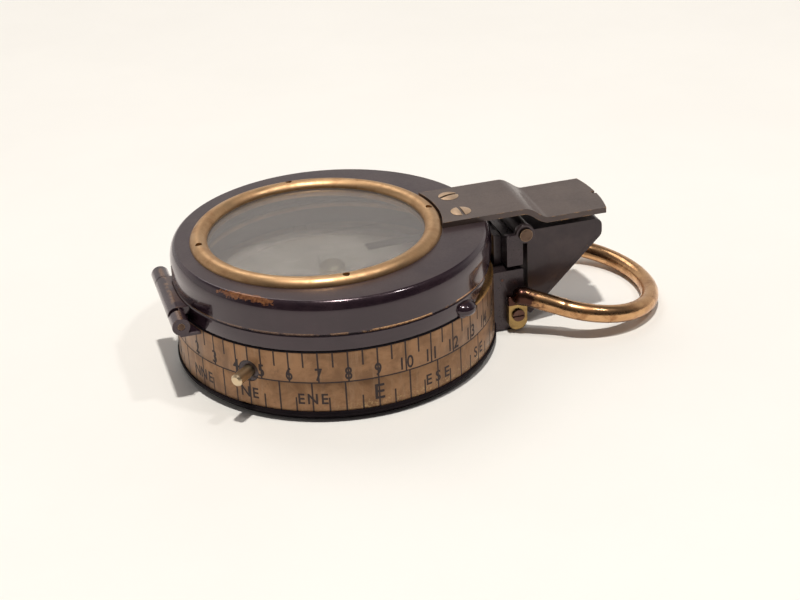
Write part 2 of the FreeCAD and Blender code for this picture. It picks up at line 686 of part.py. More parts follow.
def build_prism_box():
    x, z = D.prism_pin_x, D.prism_pin_z
    wall, cover = DIMENSIONS["box_wall"], DIMENSIONS["cover_thick"]
    half = D.box_half
    shell = plate("box_shell", "XZ_Plane", prism_outline(), half * 2)
    knuckle = rod("box_knuckle", D.prism_knuckle, half * 2, x, -half, z, "y")
    solid = fuse("box_blank", [shell, knuckle])
    left, top = D.box_left + wall, D.box_top - wall
    cavity = plate("box_cavity", "XZ_Plane", [
        (left, top), (left, 4.6), (left + 0.6, 4.6), (D.box_right - 1.9, top - 1.2),
        (D.box_right - 1.9, top)], (half - wall) * 2)
    slope_length = math.hypot(
        DIMENSIONS["box_right"] - DIMENSIONS["slope_foot_x"],
        DIMENSIONS["slope_top"] - DIMENSIONS["slope_foot_z"])
    recess = slope_strip("cover_recess", -3, cover, half + 1, -4, slope_length - 1.0)
    tools = [
        cavity, recess,
        rod("box_pin_hole", D.prism_pin + 0.06, FAR, x, -FAR / 2, z, "y"),
        rod("object_window_hole", D.object_window, 3, D.object_window_x, 0, D.box_top - 2),
        rod("eye_window_hole", D.eye_window, 3, D.box_left - 1, 0, D.eye_window_z, "x"),
        block("sight_slit", (D.box_left - 1, -0.3, D.box_low - 1), (D.box_left + 1.4, 0.3, D.box_low + 1.2))]
    finish(cut("prism_box", solid, tools))
    lid = slope_strip("cover_blank", 0, cover, half, -1, slope_length - 1.0)
    lid_trim = plate("cover_trim", "XZ_Plane", prism_outline(), half * 2 + 2)
    holes = cover_screw_places(slope_length)
    cover_plate = common("cover_plain", lid, lid_trim)
    finish(cut("prism_cover", cover_plate, [slope_rod(f"cover_hole{n}", 0.45, along, y, -1, 3)
                                            for n, (along, y) in enumerate(holes)]))
    finish(group("cover_screws", [slope_rod(f"cover_screw{n}", 0.45, along, y, -0.12, cover)
                                  for n, (along, y) in enumerate(holes)]))
    glass = plate("prism_glass", "XZ_Plane", [
        (left, top), (left, 5.4), (left + 0.75, 5.4), (D.box_right - 2.3, top - 1.5),
        (D.box_right - 2.3, top)], (half - wall) * 2 - 0.1)
    finish(glass)
    thick = D.lens_thick
    finish(rod("object_lens", D.object_window, thick, D.object_window_x, 0, D.box_top - 0.1 - thick))
    finish(rod("eye_lens", D.eye_window, thick, D.box_left + 0.1, 0, D.eye_window_z, "x"))


def cover_screw_places(slope_length):
    inset = 5.4
    ends = (1.6, slope_length - 2.2)
    return [(along, side * inset) for along in ends for side in (-1, 1)]


def slope_rod(label, radius, along, y, near, far):
    """A rod square to the slope, between two depths under it."""
    dx = DIMENSIONS["box_right"] - DIMENSIONS["slope_foot_x"]
    dz = DIMENSIONS["slope_top"] - DIMENSIONS["slope_foot_z"]
    length = math.hypot(dx, dz)
    ux, uz = dx / length, dz / length
    inward = FreeCAD.Vector(-uz, 0, ux)
    solid = doc.addObject("Part::Cylinder", label)
    bind(solid, "Radius", radius)
    bind(solid, "Height", far - near)
    solid.Placement = FreeCAD.Placement(
        FreeCAD.Vector(), FreeCAD.Rotation(FreeCAD.Vector(0, 0, 1), inward))
    bind(solid, "Placement.Base.x", D.slope_foot_x + (along * ux + near * inward.x))
    bind(solid, "Placement.Base.y", size(y))
    bind(solid, "Placement.Base.z", D.slope_foot_z + (along * uz + near * inward.z))
    return solid


# ---- thumb ring ----------------------------------------------------------------------

def ring_point(angle):
    """A point on the ring's centre line; the ring lies on the ground at its far end."""
    reach, spread = DIMENSIONS["ring_reach"], DIMENSIONS["ring_spread"]
    tilt = math.radians(DIMENSIONS["ring_tilt"])
    along = reach * math.cos(angle)
    height = DIMENSIONS["ring_wire"] + reach * math.sin(tilt)
    return FreeCAD.Vector(DIMENSIONS["ring_centre_x"] + along * math.cos(tilt),
                          spread * math.sin(angle), height - along * math.sin(tilt))


def ring_root(side):
    """Where the wire ends, above the pivot and just outside the bracket."""
    reach = DIMENSIONS["bracket_half"] + DIMENSIONS["ring_gap"] + DIMENSIONS["ring_wire"] + 0.2
    return FreeCAD.Vector(DIMENSIONS["ring_root_x"], side * reach, DIMENSIONS["ring_root_z"])


def build_ring():
    """The bow is one wire along part of an ellipse; its tabs hang from its two ends."""
    end = math.radians(DIMENSIONS["ring_end_angle"])
    steps = 24
    bow_points = [ring_point(-end + 2 * end * step / steps) for step in range(steps + 1)]
    line = Part.BSplineCurve()
    line.interpolate([ring_root(-1)] + bow_points + [ring_root(1)])
    start = ring_root(-1)
    tangent = FreeCAD.Vector(*line.tangent(0)[0])
    section = Part.Wire(Part.Circle(start, tangent, DIMENSIONS["ring_wire"]).toShape())
    bow = Part.Wire(line.toShape()).makePipeShell([section], True, True)
    wire = doc.addObject("Part::Feature", "ring_bow")
    wire.Shape = bow
    parts = [wire]
    inner = D.bracket_half + D.ring_gap
    x, z = D.ring_pivot_x, D.ring_pivot_z
    half = D.ring_tab_width / 2
    for side in (-1, 1):
        low = inner if side > 0 else -(inner + D.ring_tab_thick)
        parts.append(block(f"tab_plate{side}", (x - half, low, z - 1.2),
                           (x + half, low + D.ring_tab_thick, D.ring_root_z)))
        parts.append(rod(f"tab_foot{side}", half, D.ring_tab_thick, x, low, z - 1.2, "y"))
        parts.append(ring_knuckle(f"ring_end{side}", side, inner))
    finish(cut("thumb_ring", fuse("ring_blank", parts), [
        rod("ring_pivot_hole", D.ring_pivot_hole, FAR, x, -FAR / 2, z, "y")]))


def ring_knuckle(label, side, inner):
    """A round-ended bar that joins the wire's end to the top of its tab."""
    root = ring_root(side)
    length = abs(root.y) - inner
    low = inner if side > 0 else -(inner + length)
    bar = rod(label + "_bar", D.ring_wire - 0.1, length, D.ring_root_x, low, D.ring_root_z, "y")
    ball = doc.addObject("Part::Sphere", label + "_ball")
    bind(ball, "Radius", D.ring_wire + 0.15)
    place(ball, D.ring_root_x, root.y, D.ring_root_z)
    return fuse(label, [bar, ball])


def build_ring_screws():
    """Shoulder screws: the tab turns on the shoulder, and the thread sits in the bracket."""
    x, z = D.ring_pivot_x, D.ring_pivot_z
    face = D.bracket_half
    outer = face + D.ring_gap + D.ring_tab_thick + SLACK

    def screw(side):
        parts = []
        for name, radius, start, end in (
                ("thread", 0.55, face - 2.6, face), ("shoulder", D.ring_pivot_hole - SLACK, face, outer),
                ("head", D.ring_pivot_hole + 0.4, outer, outer + 0.45)):
            low = start if side > 0 else -size(end)
            parts.append(rod(f"ring_screw_{name}{side}", radius, size(end) - start, x, low, z, "y"))
        slot_low = outer + 0.25 if side > 0 else -(outer + 1)
        slot = block(f"ring_screw_slot{side}", (x - 2, slot_low, z - 0.2), (x + 2, slot_low + 0.75, z + 0.2))
        return cut(f"ring_screw{side}", fuse(f"ring_screw_blank{side}", parts), [slot])

    finish(group("ring_screws", both_sides(screw)))


# ---- brake ---------------------------------------------------------------------------

def brake_frame():
    """Unit vectors of the brake: inward towards the centre, and along the lever."""
    bearing = math.radians(BRAKE_BEARING)
    inward = FreeCAD.Vector(-math.cos(bearing), -math.sin(bearing), 0)
    along = FreeCAD.Vector(-inward.y, inward.x, 0) * -1
    return inward, along


def brake_spot(distance, along):
    inward, tangent = brake_frame()
    return inward * -distance + tangent * along


def build_brake():
    bush = brake_rod("bush_blank", D.brake_bush, D.case_bore - 0.4, D.case_radius - 0.1)
    finish(cut("brake_bush", bush, [brake_rod("bush_hole", D.brake_pin + SLACK, 20, 35)]))
    stem = brake_rod("brake_stem", D.brake_pin, D.brake_nose + 0.6, D.brake_tip - 0.35)
    collar = brake_rod("brake_collar", 1.6, D.case_bore - 0.9, D.case_bore - 0.45)
    nose = brake_cone("brake_nose_cone", 0.3, D.brake_pin, D.brake_nose, D.brake_nose + 0.6)
    tip = brake_cone("brake_tip_cone", D.brake_pin, 0.7, D.brake_tip - 0.35, D.brake_tip)
    finish(fuse("brake_button", [stem, collar, nose, tip]))
    pivot = brake_spot(DIMENSIONS["brake_pivot"], DIMENSIONS["brake_arm"])
    boss = rod("lever_boss", 1.1, 3.2, pivot.x, pivot.y, 6.6)
    finish(cut("brake_lever", fuse("lever_blank", [lever_bar(), boss]), [
        rod("lever_hole", 0.65, 9, pivot.x, pivot.y, 4)]))
    post = rod("post_rod", 0.6, size(10.6) - D.floor_top, pivot.x, pivot.y, D.floor_top)
    foot = rod("post_foot", 1.0, 1.2, pivot.x, pivot.y, D.floor_top)
    cap = rod("post_cap", 0.75, 0.6, pivot.x, pivot.y, 10.0)
    finish(fuse("brake_post", [post, foot, cap]))
    build_brake_spring(pivot)


def lever_bar():
    """The flat bar behind the button's nose, square to the button's line."""
    inward, tangent = brake_frame()
    bar = doc.addObject("Part::Box", "lever_bar")
    bind(bar, "Length", D.brake_arm + 1.7)
    bind(bar, "Width", D.brake_lever_back - D.brake_lever_face)
    bind(bar, "Height", 3.8)
    corner = brake_spot(DIMENSIONS["brake_lever_back"], -1.2)
    turn = FreeCAD.Rotation(tangent, inward, FreeCAD.Vector(0, 0, 1), "ZXY")
    bar.Placement = FreeCAD.Placement(FreeCAD.Vector(corner.x, corner.y, 6.6), turn)
    return bar


def brake_cone(label, first, second, inner, outer):
    cone = doc.addObject("Part::Cone", label)
    bind(cone, "Radius1", first)
    bind(cone, "Radius2", second)
    bind(cone, "Height", size(outer) - inner)
    guide = brake_rod(label + "_line", 1, inner, outer)
    cone.Placement = guide.Placement
    for letter in "xyz":
        text = dict(guide.ExpressionEngine)[f".Placement.Base.{letter}"]
        cone.setExpression(f".Placement.Base.{letter}", text)
    doc.removeObject(guide.Name)
    return cone


def build_brake_spring(pivot):
    """A wound spring round the brake post, between its foot and the lever's boss."""
    radius = 0.8
    coil = doc.addObject("Part::Helix", "spring_coil")
    coil.Radius = radius
    coil.Pitch = 0.62
    coil.Height = 2.6
    coil.Placement.Base = FreeCAD.Vector(pivot.x, pivot.y, 3.7)
    doc.recompute()
    section = doc.addObject("Part::Circle", "spring_section")
    section.Radius = 0.2
    section.Placement = FreeCAD.Placement(
        FreeCAD.Vector(pivot.x + radius, pivot.y, 3.7), FreeCAD.Rotation(FreeCAD.Vector(1, 0, 0), 90))
    sweep = doc.addObject("Part::Sweep", "brake_spring")
    sweep.Sections = [section]
    sweep.Spine = (coil, ["Edge1"])
    sweep.Solid = True
    sweep.Frenet = True
    finish(sweep)


# ---- card lifter ---------------------------------------------------------------------

def build_lifter():
    y, z = D.lift_pivot_y, D.lift_pivot_z
    end_y = D.lift_pin_y - 0.2
    lever = plate("lever_plate", "YZ_Plane", [
        (1.6, 8.4), (1.6, 7.3), (14.5, 4.4), (17.6, 4.2), (24.0, 8.4), (end_y, 8.4), (end_y, 9.6),
        (23.6, 9.6), (17.2, 6.3), (15, 6.1), (4.0, 8.4)], D.lift_width)
    finish(cut("lift_lever", lever, [
        rod("lever_fork", 2.4, 9, 0, 0, 3), rod("lever_pivot_hole", 0.55, FAR, -FAR / 2, y, z, "x")]))
    sides = both_sides(lambda side: block(
        f"lift_ear{side}", (side * 1.7 - 0.35, y - 1.3, D.floor_top), (side * 1.7 + 0.35, y + 1.3, z + 1.1)))
    foot = block("lift_foot", (-2.05, y - 1.3, D.floor_top), (2.05, y + 1.3, D.floor_top + 0.6))
    finish(cut("lift_bracket", fuse("lift_bracket_blank", sides + [foot]), [
        rod("lift_bracket_hole", 0.5, FAR, -FAR / 2, y, z, "x")]))
    finish(rod("lift_pivot_pin", 0.5, 4.3, -2.15, y, z, "x"))
    finish(rod("lift_pin", D.lift_pin, D.case_top - 9.75, 0, D.lift_pin_y, size(9.7)), "lift_pin")
    spring = plate("lift_spring", "YZ_Plane", [
        (19.6, 1.9), (24.4, 1.9), (24.4, 2.15), (21.6, 2.15), (24.3, 7.6), (24.05, 7.7), (21.0, 2.3),
        (19.6, 2.3)], 1.8)
    finish(spring)


def check_document():
    """Stops on any failed feature or bad shape."""
    for feature in doc.Objects:
        for state in feature.State:
            if state in ("Invalid", "Error"):
                raise RuntimeError(f"{feature.Name} is {state}")
    for feature in finished:
        shape = feature.Shape
        if shape.isNull() or not shape.isValid() or not shape.Solids:
            raise RuntimeError(f"{feature.Label} has a bad shape")


build_base_plate()
build_case_wall()
build_pivot()
build_card()
build_turning_bezel()
build_lid_shell()
build_lid_lug()
build_window()
build_strap()
build_hinge()
build_bracket()
build_slide()
build_prism_box()
build_ring()
build_ring_screws()
build_brake()
build_lifter()
doc.recompute()
check_document()

os.makedirs("parts", exist_ok=True)
for part in finished:
    part.Shape.exportStep(f"parts/{part.Label}.step")
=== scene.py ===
import math

import bmesh
import bpy
from mathutils import Matrix, Vector

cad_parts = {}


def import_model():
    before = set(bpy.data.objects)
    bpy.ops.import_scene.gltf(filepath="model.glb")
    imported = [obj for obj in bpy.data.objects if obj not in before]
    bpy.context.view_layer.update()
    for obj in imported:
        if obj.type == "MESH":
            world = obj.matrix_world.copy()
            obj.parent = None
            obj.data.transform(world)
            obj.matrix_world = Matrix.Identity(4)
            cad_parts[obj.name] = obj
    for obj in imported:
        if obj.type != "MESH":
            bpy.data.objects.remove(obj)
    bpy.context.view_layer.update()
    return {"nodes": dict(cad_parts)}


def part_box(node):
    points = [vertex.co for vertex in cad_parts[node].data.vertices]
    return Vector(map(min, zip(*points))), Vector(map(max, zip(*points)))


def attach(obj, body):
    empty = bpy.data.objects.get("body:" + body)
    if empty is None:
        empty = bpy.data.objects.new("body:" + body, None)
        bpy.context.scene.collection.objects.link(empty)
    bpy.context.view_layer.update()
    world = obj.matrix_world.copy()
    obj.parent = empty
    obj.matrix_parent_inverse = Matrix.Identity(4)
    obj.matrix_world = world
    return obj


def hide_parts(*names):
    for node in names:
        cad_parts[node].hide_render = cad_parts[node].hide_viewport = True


# Looks of the sighting compass. Lengths in this script are millimetres unless a name says otherwise.
MM = 0.001
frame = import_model()
NODES = frame["nodes"]


def cad(node):
    """Lowest and highest corner of a CAD node in millimetres."""
    low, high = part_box(node)
    return Vector(low) / MM, Vector(high) / MM


# ---- sizes read from the CAD ---------------------------------------------------------

case_low, case_high = cad("case_wall")
base_low, base_high = cad("base_plate")
shell_low, shell_high = cad("lid_shell")
window_low, window_high = cad("window_bezel")
pane_low, pane_high = cad("window_glass")
strap_low, strap_high = cad("lid_strap")
CASE_R = case_high.y
RIM_R = base_high.y
LID_R = shell_high.y
LID_LOW = shell_low.z
LID_TOP = pane_high.z
WINDOW_X = (window_low.x + window_high.x) / 2
WINDOW_R = (window_high.x - window_low.x) / 2
STRAP_TOP = strap_high.z
STRAP_HALF = strap_high.y
STRAP_TIP = strap_high.x
STRAP_THICK = 1.0
BAND_LOW = case_low.z
BAND_TOP = case_high.z
DIVIDE = BAND_LOW + 5.35
SCALE_STROKE = 0.27
GROOVE = LID_LOW + 2.75
CHIP_SPOT = (-18.6, -18.9, LID_TOP - 0.2)


# ---- node material helpers -----------------------------------------------------------

class Tree:
    """A short way to write a node tree."""

    def __init__(self, tree):
        self.tree = tree
        tree.nodes.clear()

    def node(self, kind, values=None, **settings):
        made = self.tree.nodes.new(kind)
        for key, value in settings.items():
            setattr(made, key, value)
        for key, value in (values or {}).items():
            self.put(made.inputs[key], value)
        return made

    def put(self, socket, value):
        if isinstance(value, bpy.types.NodeSocket):
            self.link(value, socket)
        elif isinstance(value, tuple) and socket.type == "RGBA" and len(value) == 3:
            socket.default_value = (*value, 1)
        else:
            socket.default_value = value

    def link(self, source, target):
        self.tree.links.new(source, target)

    def math(self, kind, first, second=0.0):
        made = self.node("ShaderNodeMath", operation=kind)
        self.put(made.inputs[0], first)
        self.put(made.inputs[1], second)
        return made.outputs[0]

    def span(self, value, low, high, out_low=0.0, out_high=1.0):
        """Value from low..high mapped to out_low..out_high, with soft ends."""
        made = self.node("ShaderNodeMapRange", {
            "Value": value, "From Min": low, "From Max": high, "To Min": out_low, "To Max": out_high},
            interpolation_type="SMOOTHSTEP")
        return made.outputs[0]

    def mix(self, amount, first, second):
        made = self.node("ShaderNodeMix", data_type="RGBA")
        self.put(made.inputs[0], amount)
        self.put(made.inputs[6], first)
        self.put(made.inputs[7], second)
        return made.outputs[2]


class Surface(Tree):
    """A new material whose patterns are measured in millimetres of the object."""

    def __init__(self, name):
        self.material = bpy.data.materials.new(name)
        self.material.use_nodes = True
        super().__init__(self.material.node_tree)
        self.out = self.node("ShaderNodeOutputMaterial")
        coords = self.node("ShaderNodeTexCoord")
        scaled = self.node("ShaderNodeMapping", {"Vector": coords.outputs["Object"], "Scale": (1 / MM,) * 3})
        self.mm = scaled.outputs["Vector"]

    def noise(self, scale, detail=4.0, rough=0.55, stretch=(1, 1, 1), warp=0.0):
        vector = self.mm
        if stretch != (1, 1, 1):
            vector = self.node("ShaderNodeMapping", {"Vector": vector, "Scale": stretch}).outputs[0]
        made = self.node("ShaderNodeTexNoise", {
            "Vector": vector, "Scale": scale, "Detail": detail, "Roughness": rough, "Distortion": warp})
        return made.outputs["Fac"]

    def edges(self, radius, low, high):
        """1 on edges sharper than the radius in mm, 0 on flats."""
        soft = self.node("ShaderNodeBevel", {"Radius": radius * MM}, samples=6)
        flat = self.node("ShaderNodeNewGeometry")
        dot = self.node("ShaderNodeVectorMath", operation="DOT_PRODUCT")
        self.link(soft.outputs[0], dot.inputs[0])
        self.link(flat.outputs["Normal"], dot.inputs[1])
        turned = self.math("SUBTRACT", 1.0, dot.outputs["Value"])
        return self.span(turned, low, high)

    def creases(self, reach, low, high):
        """Painted shade mask from ambient occlusion: 1 deep in corners, 0 in the open."""
        shade = self.node("ShaderNodeAmbientOcclusion", {"Distance": reach * MM}, samples=8)
        return self.span(shade.outputs["AO"], high, low)

    def bump(self, height, strength, distance):
        made = self.node("ShaderNodeBump", {
            "Height": height, "Strength": strength, "Distance": distance * MM})
        return made.outputs[0]

    def axis(self, letter):
        parts = self.node("ShaderNodeSeparateXYZ", {"Vector": self.mm})
        return parts.outputs[letter]

    def finish(self, **inputs):
        names = {key.replace("_", " "): value for key, value in inputs.items()}
        shader = self.node("ShaderNodeBsdfPrincipled", names)
        self.link(shader.outputs[0], self.out.inputs["Surface"])
        return self.material


def lacquer(name, base, tint, wear, gloss, brushed=None, shine=0.3, lid_wear=False, relief=0.18,
            polish=0.12, level=0.5):
    """Old dark lacquer on brass: mottled, scuffed, and rubbed to the metal on its edges."""
    t = Surface(name)
    cloud = t.noise(0.16, 6, 0.6)
    grain = t.noise(2.6, 5, 0.7)
    scuff = t.noise(0.9, 8, 0.72, stretch=(1, 0.35, 1), warp=0.6)
    colour = t.mix(t.span(cloud, 0.35, 0.7), base, tint)
    colour = t.mix(t.span(scuff, 0.60, 0.80, 0, 0.30), colour, tuple(min(1, c * 2.2 + 0.012) for c in base))
    patchy = t.span(t.noise(0.55, 5, 0.6), 0.64 - wear, 0.80 - wear)
    rubbed = t.math("MULTIPLY", t.edges(0.25, 0.02, 0.14), patchy)
    if lid_wear:
        rubbed = t.math("MAXIMUM", rubbed, lid_crease(t))
    chips = t.span(t.noise(1.1, 6, 0.65), 0.735, 0.755)
    bare = t.math("MAXIMUM", rubbed, t.math("MULTIPLY", chips, 0.5))
    brass_tone = t.mix(t.span(grain, 0.35, 0.65), (0.33, 0.18, 0.08), (0.62, 0.40, 0.20))
    colour = t.mix(bare, colour, brass_tone)
    if lid_wear:
        chip = lid_chip(t)
        copper = t.mix(t.span(grain, 0.3, 0.7), (0.115, 0.042, 0.018), (0.34, 0.155, 0.062))
        colour = t.mix(chip, colour, copper)
        bare = t.math("MAXIMUM", bare, t.math("MULTIPLY", chip, 0.4))
    # Painted shade: darker in corners by the occlusion mask, standing also for dust there.
    dust = t.math("MULTIPLY", t.creases(0.9, 0.25, 0.75), 0.25)
    colour = t.mix(dust, colour, (0.045, 0.036, 0.034))
    rough = t.span(grain, 0.3, 0.7, gloss - 0.05, gloss + 0.08)
    rough = t.math("ADD", rough, t.math("MULTIPLY", t.span(scuff, 0.55, 0.8), 0.12))
    height = t.math("ADD", t.math("MULTIPLY", grain, 0.6), t.math("MULTIPLY", bare, -1.2))
    if brushed:
        lines = t.noise(1.5, 6, 0.75, stretch=brushed)
        height = t.math("ADD", height, t.math("MULTIPLY", lines, 1.6))
        colour = t.mix(t.span(lines, 0.5, 0.78, 0, 0.4), colour, tuple(c * 1.8 + 0.01 for c in base))
    return t.finish(Base_Color=colour, Roughness=rough, Metallic=t.span(bare, 0.2, 0.8, 0.0, 0.9),
                    Specular_IOR_Level=level, Specular_Tint=(1.0, 0.84, 0.90), Coat_Tint=(1.0, 0.9, 0.94),
                    Coat_Weight=shine, Coat_Roughness=polish, Normal=t.bump(height, relief, 0.03))


def lid_crease(t):
    """The lid's groove rubbed to brass: nearly all of the prism side, in patches elsewhere."""
    worn_at = GROOVE + 0.18
    line = t.span(t.math("ABSOLUTE", t.math("SUBTRACT", t.axis("Z"), worn_at)), 0.30, 0.16)
    patchy = t.span(t.noise(0.35, 5, 0.6), 0.40, 0.52)
    side = t.span(t.axis("X"), -10, 4, 0.3, 1)
    return t.math("MULTIPLY", line, t.math("MULTIPLY", patchy, side))


def lid_chip(t):
    """A long chip in the lacquer where the lid's flat top meets its shoulder, on the hinge side."""
    spot = t.node("ShaderNodeVectorMath", {0: t.mm, 1: CHIP_SPOT}, operation="SUBTRACT").outputs[0]
    turned = t.node("ShaderNodeMapping", {"Vector": spot, "Rotation": (0, 0, math.radians(45))}).outputs[0]
    shrunk = t.node("ShaderNodeMapping", {"Vector": turned, "Scale": (0.17, 1.7, 1.3)}).outputs[0]
    far = t.node("ShaderNodeVectorMath", {0: shrunk}, operation="LENGTH").outputs["Value"]
    ragged = t.math("ADD", far, t.span(t.noise(1.0, 6, 0.7), 0.3, 0.7, -0.45, 0.45))
    return t.span(ragged, 1.08, 0.78)


def metal(name, base, dark, rough, stain=0.5, lines=None, worn=None):
    """Brass or steel: stained in patches, with painted shade in its corners, and fine scratches."""
    t = Surface(name)
    patches = t.noise(0.28, 6, 0.62, warp=0.4)
    grain = t.noise(3.2, 5, 0.7)
    colour = t.mix(t.span(patches, 0.62 - stain * 0.35, 0.78, 0, 0.85), base, dark)
    colour = t.mix(t.span(grain, 0.60, 0.75, 0, 0.30), colour, dark)
    # Painted shade: darker in corners by the occlusion mask.
    colour = t.mix(t.math("MULTIPLY", t.creases(0.8, 0.3, 0.85), 0.75), colour, tuple(c * 0.25 for c in dark))
    if worn:
        colour = t.mix(t.math("MULTIPLY", t.edges(0.22, 0.015, 0.10), 0.8), colour, worn)
    height = t.math("MULTIPLY", grain, 0.5)
    if lines:
        scratches = t.noise(1.2, 7, 0.8, stretch=lines)
        height = t.math("ADD", height, t.math("MULTIPLY", scratches, 1.3))
        colour = t.mix(t.span(scratches, 0.45, 0.8, 0, 0.3), colour, tuple(min(1, c * 1.35) for c in base))
    spread = t.span(patches, 0.3, 0.75, rough - 0.06, rough + 0.16)
    return t.finish(Base_Color=colour, Metallic=1.0, Roughness=spread,
                    Normal=t.bump(height, 0.2, 0.03))


def ring_brass():
    """The thumb ring: copper-coloured, browner in patches, dark brown at its two roots."""
    t = Surface("ring_brass")
    patches = t.noise(0.30, 6, 0.62, warp=0.5)
    grain = t.noise(3.0, 5, 0.7)
    rubs = t.noise(1.1, 7, 0.75, stretch=(0.4, 1, 1))
    colour = t.mix(t.span(patches, 0.40, 0.70), (0.68, 0.40, 0.20), (0.42, 0.215, 0.10))
    colour = t.mix(t.span(rubs, 0.60, 0.78, 0, 0.5), colour, (0.16, 0.085, 0.05))
    colour = t.mix(t.math("MULTIPLY", t.edges(0.22, 0.015, 0.10), 0.8), colour, (0.8, 0.6, 0.34))
    ragged = t.math("ADD", t.axis("X"), t.span(t.noise(0.9, 5, 0.65), 0.25, 0.75, -1.2, 1.2))
    root = t.math("MULTIPLY", t.span(ragged, 33.6, 32.0), t.span(t.axis("Z"), 4.6, 5.6))
    colour = t.mix(root, colour, (0.075, 0.034, 0.026))
    rough = t.math("ADD", t.span(patches, 0.3, 0.75, 0.17, 0.34), t.math("MULTIPLY", root, 0.05))
    return t.finish(Base_Color=colour, Metallic=1.0, Roughness=rough, Normal=t.bump(grain, 0.12, 0.03))


def band_brass():
    """The engraved band: brown lacquered brass, mottled, speckled gold near its foot."""
    t = Surface("band_brass")
    upright = t.noise(0.8, 7, 0.7, stretch=(1, 1, 0.16))
    patches = t.noise(0.22, 7, 0.65, warp=0.7)
    speck = t.noise(2.2, 6, 0.75)
    colour = t.mix(t.span(patches, 0.34, 0.68), (0.20, 0.105, 0.052), (0.37, 0.205, 0.105))
    colour = t.mix(t.span(upright, 0.48, 0.74, 0, 0.45), colour, (0.40, 0.26, 0.16))
    low = t.span(t.axis("Z"), 4.6, 1.9)
    gold = t.math("MULTIPLY", low, t.span(speck, 0.50, 0.66))
    gold = t.math("MULTIPLY", gold, t.span(t.axis("X"), -12, 2))
    colour = t.mix(t.math("MULTIPLY", gold, 0.8), colour, (0.70, 0.50, 0.24))
    grime = t.span(t.noise(0.5, 8, 0.7), 0.58, 0.74, 0, 0.5)
    colour = t.mix(grime, colour, (0.09, 0.052, 0.036))
    # Painted shade: darker in corners by the occlusion mask.
    colour = t.mix(t.math("MULTIPLY", t.creases(1.0, 0.3, 0.85), 0.5), colour, (0.03, 0.018, 0.02))
    height = t.math("ADD", t.math("MULTIPLY", speck, 0.7), upright)
    return t.finish(Base_Color=colour, Metallic=0.75, Roughness=t.span(patches, 0.3, 0.7, 0.36, 0.52),
                    Coat_Weight=0.15, Coat_Roughness=0.3, Normal=t.bump(height, 0.16, 0.03))


def ledge_brass():
    """The case's top ledge: painted near black as shade under the lid, showing bright brass only on the prism
    side, where the lid is cut away.
    """
    t = Surface("ledge_brass")
    grain = t.noise(1.8, 6, 0.7)
    brass = t.mix(t.span(grain, 0.4, 0.7), (0.74, 0.42, 0.16), (0.45, 0.22, 0.08))
    # Here rubbed marks where the ledge shows its brass, on the prism side where the lid is cut away;
    # elsewhere the near black is painted shade from the lid above.
    rubbed = t.math("MULTIPLY", t.span(t.axis("X"), 17.5, 20.5), t.span(grain, 0.3, 0.5))
    colour = t.mix(rubbed, (0.006, 0.004, 0.006), brass)
    return t.finish(Base_Color=colour, Metallic=rubbed, Roughness=t.span(rubbed, 0, 1, 0.7, 0.34),
                    Specular_IOR_Level=0.1, Normal=t.bump(grain, 0.2, 0.03))


def engraving():
    t = Surface("engraving_fill")
    wax = t.noise(2.4, 6, 0.7)
    colour = t.mix(t.span(wax, 0.4, 0.7), (0.018, 0.008, 0.009), (0.050, 0.026, 0.020))
    return t.finish(Base_Color=colour, Roughness=t.span(wax, 0.3, 0.7, 0.45, 0.75),
                    Normal=t.bump(wax, 0.3, 0.02))


def dusty_glass(name, tint, haze, haze_colour, let_in=0.97):
    """Clear old glass with a film of dust and a few marks; let_in is the light that each face passes."""
    t = Surface(name)
    film = t.noise(0.10, 6, 0.6)
    specks = t.span(t.noise(2.8, 5, 0.7), 0.69, 0.75)
    wipe = t.noise(0.4, 5, 0.6, stretch=(0.25, 1, 1), warp=0.4)
    amount = t.math("ADD", t.span(film, 0.3, 0.7, haze * 0.88, haze * 1.1), t.math("MULTIPLY", specks, 0.08))
    amount = t.math("ADD", amount, t.span(wipe, 0.55, 0.8, 0, haze * 0.12))
    clear = t.node("ShaderNodeBsdfPrincipled", {
        "Base Color": tint, "Transmission Weight": 1.0, "IOR": 1.46,
        "Roughness": t.span(wipe, 0.4, 0.8, 0.0, 0.05)})
    cloudy = t.node("ShaderNodeBsdfPrincipled", {"Base Color": haze_colour, "Roughness": 0.5})
    blend = t.node("ShaderNodeMixShader", {0: amount, 1: clear.outputs[0], 2: cloudy.outputs[0]})
    see = t.node("ShaderNodeBsdfTransparent", {"Color": (let_in, let_in, let_in)})
    path = t.node("ShaderNodeLightPath")
    whole = t.node("ShaderNodeMixShader", {
        0: path.outputs["Is Shadow Ray"], 1: blend.outputs[0], 2: see.outputs[0]})
    t.link(whole.outputs[0], t.out.inputs["Surface"])
    return t.material


def paper(name, base, stain):
    t = Surface(name)
    mottled = t.noise(0.35, 7, 0.65)
    fibre = t.noise(4.5, 5, 0.75)
    colour = t.mix(t.span(mottled, 0.4, 0.75), base, stain)
    return t.finish(Base_Color=colour, Roughness=t.span(fibre, 0.3, 0.7, 0.55, 0.75),
                    Normal=t.bump(fibre, 0.15, 0.02))


